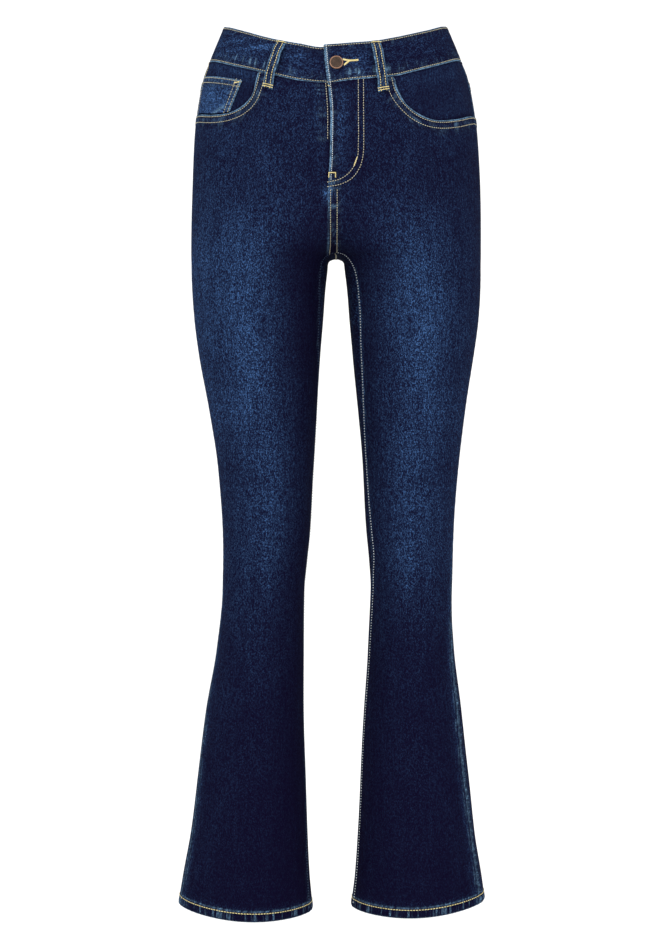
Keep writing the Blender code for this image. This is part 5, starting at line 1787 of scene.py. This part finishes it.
def finish(name):
    """A finish of the jeans by its name, made the first time that it is asked for."""
    if name not in bpy.data.materials:
        c = bpy.context.scene.jeans_colours
        make, *values = {
            "worn_denim": (denim, c.indigo, c.faded, c.pale),
            "unfaded_denim": (denim, c.indigo, c.faded, c.pale, 0.8),
            "inside_denim": (denim, c.weft, c.weft_light, c.pale, 0.8),
            "zip_tape": (denim, c.tape, c.tape_light, c.tape_light, 0.5),
            "gold_thread": (thread, c.gold_thread, c.gold_shade),
            "worn_thread": (thread, c.worn_thread, c.worn_shade),
            "rubbed_thread": (thread, c.rubbed_thread, c.rubbed_shade),
            "dim_thread": (thread, c.faded, c.indigo),
            "rubbed_copper": (metal, c.copper, c.copper_dark, 0.42, 260.0),
            "zip_brass": (metal, c.brass, c.brass_dark, 0.35, 300.0),
        }[name]
        make(name, *values)
    return bpy.data.materials[name]


# The small pieces.
class Strip:
    """A grid of points for the outside and one for the inside of a piece, with its place on its cloth."""

    def __init__(self, name, outside, inside, across_mm, down_mm):
        self.name, self.outside, self.inside = name, outside, inside
        rows, columns = outside.shape[:2]
        self.u = np.linspace(0, across_mm, columns)[None] + np.zeros((rows, 1))
        self.v = np.linspace(0, down_mm, rows)[:, None] + np.zeros((1, columns))
        self.fade, self.wear, self.deep, self.ropes = (np.zeros((rows, columns)) for _ in WEAR_AND_SHADE_KINDS)


def loop_strip(name, side, top_angle, foot_angle):
    """One belt loop: its strip bows out from the waistband between its two tacked ends."""
    down = close_at_ends(64, 0.4)
    angle = top_angle + (foot_angle - top_angle) * down
    top, foot = waist_height(side, angle) - LOOP_BELOW_TOP, band_foot_height(side, angle) - LOOP_BELOW_BAND
    middle = around_leg(side, angle, top + (foot - top) * down)
    ahead = np.gradient(middle, axis=0)
    right = unit(np.cross(normals(middle), ahead))
    across = np.linspace(-1, 1, 17)
    uneven = 0.03 * np.sin(down * 19 + top_angle)
    width = LOOP_WIDTH * (1 + uneven + 0.10 * smooth_step((down - 0.8) / 0.2)) / 2
    grid = onto_surface(middle[:, None] + right[:, None] * (across[None] * width[:, None])[..., None])
    bow = smooth_step(down / LOOP_RISE_SHARE) * smooth_step((1 - down) / LOOP_RISE_SHARE)
    seat = (BAND_PROUD + 0.35) * (1 - smooth_step((down - 0.6) / 0.25)) + LOOP_SEAT + 0.35
    crown = 0.35 * (1 - across**2)[None]
    roll = -0.75 * np.abs(across)[None] ** 9
    tacked = -0.35 * (bump(down, 0.05, 0.03) + bump(down, 0.93, 0.03))[:, None]
    lift = (seat + LOOP_BOW * bow)[:, None] + 0 * across[None]
    way = normals(grid[:, 8:9])
    inside = grid + lift[..., None] * way
    outside = grid + (lift + LOOP_WALL + crown + roll + tacked)[..., None] * way
    strip = Strip(name, outside, inside, LOOP_WIDTH, 65.0)
    ripple = 0.7 + 0.3 * pucker(strip.v, 7.0, top_angle)
    slant = np.clip(pucker(strip.v + 2 * strip.u, 9.0, foot_angle), 0, 1)
    strip.wear = 0.90 * np.abs(across)[None] ** 4 * ripple + 0.2 * bump(strip.v, 0.0, 2.0)
    strip.wear += 0.22 * slant * (1 - np.abs(across)) ** 0.5
    strip.fade = 0.17 + 0.06 * bow[:, None]
    rows, bars = [], []
    for share in LOOP_ROWS:
        # Painted shade along each of the loop's rows of stitches.
        strip.deep += 0.6 * bump(across, share, 0.13)[None]
        line = [[np.interp(share, across, axis) for axis in places.T] for places in outside[2:-2]]
        rows.append((np.array(line) + 0.12 * way[2:-2, 0], way[2:-2, 0]))
    for at in LOOP_TACKS:
        r = int(np.argmin(np.abs(down - at)))
        bars.append((outside[r] + 0.45 * way[r], np.repeat(way[r], len(across), axis=0)))
    return strip, rows, bars


def add_strip(strip, node, outer="worn_denim", inner="inside_denim"):
    obj = add_object(strip.name, wall_mesh(strip, strip.outside, strip.inside), finish(outer), finish(inner))
    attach(obj, "root")
    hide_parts(node)


def fly_strip(name, start, width, foot, depth, thick):
    """A strip behind the fly, that many millimetres in from the form."""
    top = fly_start(LEFT)[2] - 0.4
    down, across = np.linspace(0, 1, 60)[:, None], np.linspace(0, 1, 14)[None]
    level = top + (foot - top) * down + 0 * across
    grid = front_point(fly_line.read("x", level) + start + width * across, level)
    way = normals(grid)
    return Strip(name, grid - depth * way, grid - (depth + thick) * way, width, top - foot)


def zip_teeth_tree():
    """Geometry nodes that set the zip's teeth along a line."""
    numbers = [(name, "Float") for name in ("Pitch", "Width", "Height")]
    tree, entry, place = row_tree("Zip teeth", "Line", numbers, "Metal", "Teeth")
    gap = new_node(tree, "ShaderNodeMath", {1: TOOTH_SHARE}, operation="MULTIPLY")
    size, tooth = new_node(tree, "ShaderNodeCombineXYZ"), new_node(tree, "GeometryNodeMeshCube")
    tangent = new_node(tree, "GeometryNodeInputTangent")
    ahead = new_node(tree, "FunctionNodeAlignRotationToVector", axis="Z")
    wire(
        tree,
        (entry, "Width", size, "X"),
        (entry, "Height", size, "Y"),
        (entry, "Pitch", gap, 0),
        (gap, 0, size, "Z"),
        (size, 0, tooth, "Size"),
        (tangent, 0, ahead, "Vector"),
        (tooth, "Mesh", place, "Instance"),
        (ahead, "Rotation", place, "Rotation"),
    )
    return tree


# The button's profile: share of its radius, and height over its seat.
BUTTON_PROFILE = (
    (0.0, 0.0), (0.60, 0.0), (0.90, 0.25), (0.985, 0.6), (1.0, 1.1), (0.985, 1.65),
    (0.94, 2.1), (0.88, 2.28), (0.82, 2.2), (0.775, 1.95), (0.74, 1.78), (0.70, 1.80),
    (0.66, 1.95), (0.62, 1.93), (0.58, 1.78), (0.45, 1.82), (0.25, 1.92), (0.0, 1.95),
)


def button_mesh():
    """The button: a turned dish with a raised rim, a ring inside it and a low crown, set a little askew."""
    seat = front_point(BUTTON_X, BUTTON_HEIGHT)
    out = unit(normals(seat) + points(0.02, 0, 0.05))
    right = unit(np.cross(points(0, 0, 1), out))
    up = np.cross(out, right)
    turn = np.linspace(0, 2 * np.pi, 65)[:-1]
    foot = BAND_PROUD + 0.35
    knots = np.arange(len(BUTTON_PROFILE))
    profile = along(np.array(BUTTON_PROFILE), knots, np.linspace(0, knots[-1], 3 * knots[-1] + 1))
    rings = []
    for share, high in profile[1:-1]:
        radius = max(share, 0.01) * BUTTON_RADIUS
        dent = 0.05 * np.sin(3 * turn + 4 * share) * smooth_step(high - 1)
        flat = seat + (radius * np.cos(turn))[:, None] * right + (radius * np.sin(turn))[:, None] * up
        rings.append(flat + (foot + high + dent)[:, None] * out)
    ends = [(seat + (foot + high) * out)[None] for high in (profile[0][1], profile[-1][1])]
    verts = np.concatenate([*rings, *ends])
    count, base = len(turn), len(rings) * len(turn)
    last = base - count
    steps = [(i, (i + 1) % count) for i in range(count)]
    faces = [(a + i, a + j, a + count + j, a + count + i) for a in range(0, last, count) for i, j in steps]
    faces += [(base, j, i) for i, j in steps]
    faces += [(base + 1, last + i, last + j) for i, j in steps]
    mesh = bpy.data.meshes.new("button_face")
    mesh.from_pydata((verts * MM).tolist(), [], faces)
    mesh.shade_smooth()
    shares, heights = profile[1:-1, 0], profile[1:-1, 1]
    rub = np.repeat(np.exp(-(((shares - 0.89) / 0.07) ** 2)) * (heights > 1.5), count)
    add_values(mesh, "rub", np.concatenate([rub, [0, 0]]))
    return mesh


# The fly's two curved rows, its tacks and the buttonhole's two rows, as x and height in the front view.
FLY_ROWS = (
    (
        (25.3, -64.1), (25.3, -100), (25.2, -138), (24.6, -150.4),
        (20.4, -162.1), (14, -170.6), (6.1, -176.1), (-9, -180),
    ),
    (
        (31.2, -64.1), (31.2, -100), (31.3, -134), (30.7, -149.3),
        (27.0, -163.4), (17.9, -175.9), (4.8, -182.5), (-9, -185),
    ),
)
FLY_TACKS = (
    ((23.7, -152.7), (20.5, -161.7)),
    ((-8.2, -169.7), (-0.3, -169.7)),
    ((-8.0, -170.5), (-8.0, -174.8)),
    ((-0.5, -170.5), (-0.5, -174.8)),
    ((-8.9, -70.6), (-7.6, -71.6)),
)
BUTTONHOLE = (((8.0, -40.5), (15.3, -41.8), (25.0, -41.1)), ((9.4, -46.9), (15.3, -41.8)))
UNDER_FLY_ROW = ((-11.6, -68.5), (-9.6, -96.5), (-9.4, -130.5))


def drawn_on_front(pairs):
    """Points of the form's front, from each one's x and height in the front view."""
    return np.array([front_point(x, height) for x, height in pairs])


def smooth_line(drawn, count=60):
    far = way_along_line(drawn)
    return along(drawn, far, np.linspace(0, far[-1], count))


def dress_legs():
    for side in (LEFT, RIGHT):
        for face in ("front", "back"):
            cloth = leg_cloth(side, face)
            thickness = DENIM + (HEM_WALL - DENIM) * ridge(cloth.from_foot, HEM_DEPTH, 1.0)
            add_cloth(cloth, thickness, f"{face}_{SIDE_NAMES[side]}")
            sew_leg(cloth, side, face)


def sew_leg(cloth, side, face):
    name = f"{face}_{SIDE_NAMES[side]}"
    crotch = cloth.crotch_row / (len(cloth.p) - 1)
    sew(f"hem_stitches_{name}", [beside(cloth, "foot", HEM_ROW)], "gold_thread", HEM_STITCH, seed=3)
    if face == "front":
        sew_inseam(cloth, side, name, crotch)
        mouth = spread(pocket_line(side), np.linspace(0.012, 0.995, 90))
        rows = [on_cloth(cloth, moved_in(mouth, side, distance_in)) for distance_in in MOUTH_ROWS]
        sew(f"pocket_mouth_stitches_{name}", rows, "worn_thread", seed=5)
        if side == LEFT:
            sew_fly(cloth)
        else:
            row = on_cloth(cloth, smooth_line(drawn_on_front(UNDER_FLY_ROW), 40))
            sew("under_fly_stitches", [row], "worn_thread", seed=17)
            sew("crotch_stitches", crotch_rows(CLOTHS["leg_front_left"], cloth), "worn_thread", seed=8)
    elif side == LEFT:
        rows = [beside(cloth, "inner", distance_in, 0.0, crotch - 0.004) for distance_in in FELLED_ROWS]
        sew("seat_seam_stitches", rows, "worn_thread", seed=6)


def sew_inseam(cloth, side, name, crotch):
    """The row down the inside of a front. On the left it moves away from the seam below the knee."""
    far, thread_name = INSEAM_ROWS[RIGHT], "dim_thread"
    if side == LEFT:
        below_knee = smooth_step((INSEAM_TURN - cloth.p[:, 0, 2]) / INSEAM_TURN_LENGTH)
        far, thread_name = INSEAM_ROWS[LEFT] + INSEAM_MOVES_OUT * below_knee, "rubbed_thread"
    row = beside(cloth, "inner", far, crotch + 0.004, 0.985)
    sew(f"inseam_stitches_{name}", [row], thread_name, INSEAM_STITCH, seed=4)


def crotch_rows(*fronts):
    """The crotch seam's two rows: straight down both fronts, and on underneath to the crotch."""
    rows, foot = [], crotch_point()
    for x in CROTCH_ROWS:
        down = drawn_on_front((x, z) for z in (-189, -205, -222, -238, foot[2] + 8, foot[2] + 3))
        back = down[-1, 1] + (foot[1] - down[-1, 1]) * np.array([0.3, 0.6, 0.9])
        under = cast(points(x, back, foot[2] + 40), points(0 * back, 0, -1 + 0 * back))
        line = squared_crotch(smooth_line(np.concatenate([down, under])))
        placed, ways = on_cloth(fronts, line, 0.35)
        placed[:, 0] = line[:, 0]
        rows.append((placed, ways))
    return rows


def sew_fly(cloth):
    """The fly's edge row, its two curved rows and its tacks, on the left front."""
    down = cloth.p[:, 0, 2]
    foot = int(np.argmin(np.abs(down - FLY_BOTTOM))) / (len(down) - 1)
    row = beside(cloth, "inner", FLY_EDGE_ROW, 0.0, foot)
    sew("fly_edge_stitches", [row], "rubbed_thread", EDGE_STITCH, seed=18)
    rows = [on_cloth(cloth, smooth_line(drawn_on_front(line), 90)) for line in FLY_ROWS]
    sew("fly_stitches", rows, "worn_thread", seed=7)
    tack("fly_tacks", [(cloth, front_point(*start), front_point(*end)) for start, end in FLY_TACKS])


def dress_yokes():
    for side in (LEFT, RIGHT):
        cloth = yoke_cloth(side)
        add_cloth(cloth, DENIM, f"yoke_{SIDE_NAMES[side]}")
        edges = ("foot", "inner") if side == LEFT else ("foot",)
        rows = [beside(cloth, edge, distance_in) for edge in edges for distance_in in FELLED_ROWS]
        sew(f"yoke_stitches_{SIDE_NAMES[side]}", rows, "worn_thread", seed=9)


def dress_waistband():
    cloth = waistband_cloth()
    add_cloth(cloth, BAND_WALL + BAND_PROUD * 0.6, "waistband")
    rows = [beside(cloth, "top", BAND_TOP_ROW), beside(cloth, "foot", BAND_FOOT_ROW, 0.0, 0.985)]
    sew("waistband_stitches", rows, "worn_thread", seed=10)
    row = beside(cloth, "inner", BAND_END_ROW, 0.08, 0.92)
    sew("waistband_end_stitches", [row], "rubbed_thread", EDGE_STITCH, seed=19)
    rows = [on_cloth(cloth, smooth_line(drawn_on_front(line), 24), 0.3) for line in BUTTONHOLE]
    sew("buttonhole", rows, "gold_thread", BUTTONHOLE_STITCH, ACROSS, 11)


def dress_front_pockets():
    for side in (LEFT, RIGHT):
        name = SIDE_NAMES[side]
        cloth = facing_cloth(side)
        add_cloth(cloth, POCKET_DENIM, f"pocket_facing_{name}", "unfaded_denim")
        if side == RIGHT:
            row = beside(cloth, "outer", FACING_SIDE_ROW, 0.05, 0.7)
            sew("facing_side_stitches", [row], "gold_thread", seed=12)
    cloth = coin_pocket_cloth()
    add_cloth(cloth, COIN_POCKET_WALL, "coin_pocket")
    rows = [beside(cloth, edge, distance_in) for edge in ("top", "inner") for distance_in in COIN_ROWS]
    rows.append(beside(cloth, "outer", COIN_SIDE_ROW))
    sew("coin_pocket_stitches", rows, "worn_thread", seed=13)
    ends = []
    for from_top, from_inner in COIN_TACK:
        off = np.hypot(cloth.from_top - from_top, cloth.from_inner - from_inner)
        ends.append(cloth.p[np.unravel_index(np.argmin(off), off.shape)])
    tack("coin_pocket_tack", [(cloth, *ends)])


def dress_back_pockets():
    for side in (LEFT, RIGHT):
        name = SIDE_NAMES[side]
        cloth = back_pocket_cloth(side)
        thickness = POCKET_DENIM + 0.4 * BACK_POCKET_LIFT
        add_cloth(cloth, thickness, f"back_pocket_{name}")
        edges = ("inner", "outer", "foot")
        rows = [beside(cloth, edge, distance_in) for edge in edges for distance_in in BACK_POCKET_ROWS]
        rows += [beside(cloth, "top", distance_in) for distance_in in BACK_POCKET_TOP_ROWS]
        sew(f"back_pocket_stitches_{name}", rows, "worn_thread", seed=14)


def dress_belt_loops():
    for node, side, top_angle, foot_angle in BELT_LOOPS:
        strip, rows, bars = loop_strip(f"{node}_cloth", side, top_angle, foot_angle)
        add_strip(strip, node)
        sew(f"{node}_stitches", rows, "gold_thread", seed=15)
        sew(f"{node}_tacks", bars, "gold_thread", LOOP_TACK_STITCH, ACROSS, 16)


def dress_fly():
    shield = fly_strip("fly_shield_cloth", SHIELD_START, SHIELD_WIDTH, FLY_BOTTOM, SHIELD_DEPTH, DENIM)
    shield.fade += 0.06
    add_strip(shield, "fly_shield")
    tape = fly_strip("zip_tape", ZIP_START, ZIP_WIDTH, ZIP_BOTTOM, ZIP_DEPTH, ZIP_TAPE_WALL)
    add_strip(tape, "zip", "zip_tape", "zip_tape")
    middle = ((tape.outside[:, 6] + tape.outside[:, 7]) / 2)[3:-3]
    mesh = bpy.data.meshes.new("zip_teeth")
    mesh.from_pydata((middle * MM).tolist(), [(i, i + 1) for i in range(len(middle) - 1)], [])
    obj = add_object("zip_teeth", mesh)
    modifier = obj.modifiers.new("Teeth", "NODES")
    modifier.node_group = zip_teeth_tree()
    pitch, width, height = (size * MM for size in TOOTH)
    set_inputs(modifier, Pitch=pitch, Width=width, Height=height, Metal=finish("zip_brass"))
    made_real(obj, modifier)
    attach(obj, "root")


def dress_button():
    obj = add_object("button_face", button_mesh(), finish("rubbed_copper"))
    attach(obj, "root")
    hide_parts("button")


# The stage, in metres: a floor that sweeps up behind the jeans, four soft lights and the camera.
FLOOR = -1.132
FLOOR_HALF_WIDTH = 6.0
FLOOR_FRONT = -5.0
FLOOR_BACK = 3.2
SWEEP_RADIUS = 1.6
SWEEP_TOP = FLOOR + 6.0
SHADED_FLOOR = 0.985
EYE = (-0.0107, -2.5, -0.506)
LENS = 80.8

# Lights: name, place, what each is aimed at, width, height and watts.
LIGHTS = (
    ("key", (-1.5, -2.6, 1.0), (0, 0, -0.45), 1.8, 2.2, 34),
    ("fill", (1.7, -2.4, 0.2), (0, 0, -0.5), 1.6, 2.4, 22),
    ("top", (0, -0.4, 2.2), (0, 0.2, -0.6), 2.5, 2.0, 24),
    ("sweep", (0, 1.6, 1.8), (0, 3.4, -0.6), 4.0, 2.0, 40),
)


def set_floor():
    pale = bpy.context.scene.jeans_colours.backdrop
    material, tree, shader = new_material("pale_floor", Roughness=0.9)
    mix_by_noise(tree, shader, pale, [SHADED_FLOOR * c for c in pale], 1.5)
    turn = np.linspace(0, np.pi / 2, 17)
    backward, upward = SWEEP_RADIUS * np.sin(turn), SWEEP_RADIUS * (1 - np.cos(turn))
    line = [(FLOOR_FRONT, FLOOR), *zip(FLOOR_BACK + backward, FLOOR + upward)]
    line.append((FLOOR_BACK + SWEEP_RADIUS, SWEEP_TOP))
    verts = [(x, y, z) for y, z in line for x in (-FLOOR_HALF_WIDTH, FLOOR_HALF_WIDTH)]
    faces = [(2 * i, 2 * i + 1, 2 * i + 3, 2 * i + 2) for i in range(len(line) - 1)]
    mesh = bpy.data.meshes.new("floor")
    mesh.from_pydata(verts, [], faces)
    mesh.shade_smooth()
    add_object("floor", mesh, material)


def set_lights(scene):
    world = bpy.data.worlds.new("studio")
    world.use_nodes = True
    background = world.node_tree.nodes["Background"]
    background.inputs["Color"].default_value = (1, 1, 1, 1)
    background.inputs["Strength"].default_value = 0.85
    scene.world = world
    for name, place, look_at, wide, tall, watts in LIGHTS:
        data = bpy.data.lights.new(name, "AREA")
        data.shape, data.size, data.size_y, data.energy = "RECTANGLE", wide, tall, watts
        lamp = bpy.data.objects.new(name, data)
        lamp.location = place
        lamp.rotation_euler = (Vector(look_at) - Vector(place)).to_track_quat("-Z", "Y").to_euler()
        scene.collection.objects.link(lamp)


def set_camera(scene):
    camera = bpy.data.objects.new("camera", bpy.data.cameras.new("camera"))
    camera.data.lens, camera.data.sensor_width = LENS, 36.0
    camera.location, camera.rotation_euler = EYE, (math.pi / 2, 0, 0)
    scene.collection.objects.link(camera)
    scene.camera = camera
    scene.view_settings.view_transform = "Standard"


# The add-on.
def colour(name, description, value):
    return bpy.props.FloatVectorProperty(
        name=name, description=description, subtype="COLOR", size=3, min=0, max=1, default=value
    )


def length(name, description, value):
    return bpy.props.FloatProperty(
        name=name, description=description, unit="LENGTH", min=0.0001, default=value
    )


class JeansSizes(bpy.types.PropertyGroup):
    """The sizes that a user would change."""

    stitch_pitch: length("Stitch pitch", "From one stitch to the next along a row", 0.0029)
    stitch_length: length("Stitch length", "How long each stitch shows", 0.0025)
    thread_width: length("Thread width", "How thick the topstitching thread is", 0.0009)
    twill_pitch: length("Twill pitch", "From one diagonal rib of the denim to the next", 0.0011)


class JeansColours(bpy.types.PropertyGroup):
    """The colours of the denim, the threads, the metals and the backdrop."""

    indigo: colour("Indigo", "The denim where it hasn't faded", (0.0034, 0.0020, 0.0125))
    faded: colour("Faded", "The denim's paler yarns in a strong fade", (0.029, 0.068, 0.168))
    pale: colour("Pale", "The denim's worn edges and puckers", (0.15, 0.28, 0.43))
    weft: colour("Weft", "The back of the cloth", (0.16, 0.19, 0.25))
    weft_light: colour("Light weft", "The lighter threads of the back of the cloth", (0.50, 0.53, 0.58))
    tape: colour("Zip tape", "The zip's woven tape", (0.02, 0.022, 0.035))
    tape_light: colour("Light zip tape", "The tape's lighter threads", (0.05, 0.055, 0.075))
    gold_thread: colour("Gold thread", "Fresh topstitching", (0.92, 0.80, 0.42))
    gold_shade: colour("Shaded gold thread", "The darker strands of fresh topstitching", (0.55, 0.44, 0.15))
    worn_thread: colour("Worn thread", "Topstitching that has faded with the cloth", (0.60, 0.56, 0.40))
    worn_shade: colour("Shaded worn thread", "The darker strands of faded topstitching", (0.26, 0.24, 0.16))
    rubbed_thread: colour("Rubbed thread", "Topstitching along edges that rub, worn pale", (0.80, 0.86, 0.88))
    rubbed_shade: colour("Shaded rubbed thread", "The darker strands of rubbed thread", (0.40, 0.45, 0.50))
    copper: colour("Copper", "The button's rubbed metal", (0.30, 0.17, 0.115))
    copper_dark: colour("Dark copper", "The button's tarnish", (0.036, 0.030, 0.026))
    brass: colour("Brass", "The zip's teeth", (0.45, 0.33, 0.14))
    brass_dark: colour("Dark brass", "The zip's tarnish", (0.14, 0.10, 0.045))
    backdrop: colour("Backdrop", "The floor and the sweep behind it", (0.92, 0.92, 0.92))


class JEANS_OT_legs(bpy.types.Operator):
    """Dresses the four leg panels, with their hems, fly, crotch seam and pocket mouths"""

    bl_idname = "jeans.legs"
    bl_label = "Leg panels"

    def execute(self, context):
        dress_legs()
        return {"FINISHED"}


class JEANS_OT_yokes(bpy.types.Operator):
    """Dresses the two back yokes"""

    bl_idname = "jeans.yokes"
    bl_label = "Yokes"

    def execute(self, context):
        dress_yokes()
        return {"FINISHED"}


class JEANS_OT_waistband(bpy.types.Operator):
    """Dresses the waistband, with its stitching and its buttonhole"""

    bl_idname = "jeans.waistband"
    bl_label = "Waistband"

    def execute(self, context):
        dress_waistband()
        return {"FINISHED"}


class JEANS_OT_front_pockets(bpy.types.Operator):
    """Dresses the front pockets' facings and the coin pocket"""

    bl_idname = "jeans.front_pockets"
    bl_label = "Front pockets"

    def execute(self, context):
        dress_front_pockets()
        return {"FINISHED"}


class JEANS_OT_back_pockets(bpy.types.Operator):
    """Dresses the two plain back pockets"""

    bl_idname = "jeans.back_pockets"
    bl_label = "Back pockets"

    def execute(self, context):
        dress_back_pockets()
        return {"FINISHED"}


class JEANS_OT_belt_loops(bpy.types.Operator):
    """Dresses the five belt loops, with their stitching and tacks"""

    bl_idname = "jeans.belt_loops"
    bl_label = "Belt loops"

    def execute(self, context):
        dress_belt_loops()
        return {"FINISHED"}


class JEANS_OT_fly(bpy.types.Operator):
    """Dresses what lies behind the fly: the zip's tape and teeth, and the shield"""

    bl_idname = "jeans.fly"
    bl_label = "Fly"

    def execute(self, context):
        dress_fly()
        return {"FINISHED"}


class JEANS_OT_button(bpy.types.Operator):
    """Dresses the waistband's metal button"""

    bl_idname = "jeans.button"
    bl_label = "Button"

    def execute(self, context):
        dress_button()
        return {"FINISHED"}


class JEANS_OT_stage(bpy.types.Operator):
    """Sets the pale floor, the soft lights and the camera"""

    bl_idname = "jeans.stage"
    bl_label = "Stage"

    def execute(self, context):
        set_floor()
        set_lights(context.scene)
        set_camera(context.scene)
        return {"FINISHED"}


OPERATORS = (
    JEANS_OT_legs,
    JEANS_OT_yokes,
    JEANS_OT_waistband,
    JEANS_OT_front_pockets,
    JEANS_OT_back_pockets,
    JEANS_OT_belt_loops,
    JEANS_OT_fly,
    JEANS_OT_button,
    JEANS_OT_stage,
)


class JEANS_PT_panel(bpy.types.Panel):
    """The jeans' sizes, colours and pieces"""

    bl_idname = "JEANS_PT_panel"
    bl_label = "Bootcut Jeans"
    bl_space_type = "VIEW_3D"
    bl_region_type = "UI"
    bl_category = "Jeans"

    def draw(self, context):
        for group in (context.scene.jeans_sizes, context.scene.jeans_colours):
            box = self.layout.box()
            for name in group.bl_rna.properties.keys():
                if name not in ("rna_type", "name"):
                    box.prop(group, name)
        for operator in OPERATORS:
            self.layout.operator(operator.bl_idname)


CLASSES = (JeansSizes, JeansColours, *OPERATORS, JEANS_PT_panel)


def register():
    for cls in CLASSES:
        bpy.utils.register_class(cls)
    bpy.types.Scene.jeans_sizes = bpy.props.PointerProperty(type=JeansSizes)
    bpy.types.Scene.jeans_colours = bpy.props.PointerProperty(type=JeansColours)


def unregister():
    del bpy.types.Scene.jeans_colours
    del bpy.types.Scene.jeans_sizes
    for cls in reversed(CLASSES):
        bpy.utils.unregister_class(cls)


def main():
    register()
    for operator in OPERATORS:
        family, name = operator.bl_idname.split(".")
        getattr(getattr(bpy.ops, family), name)()


if __name__ == "__main__":
    main()
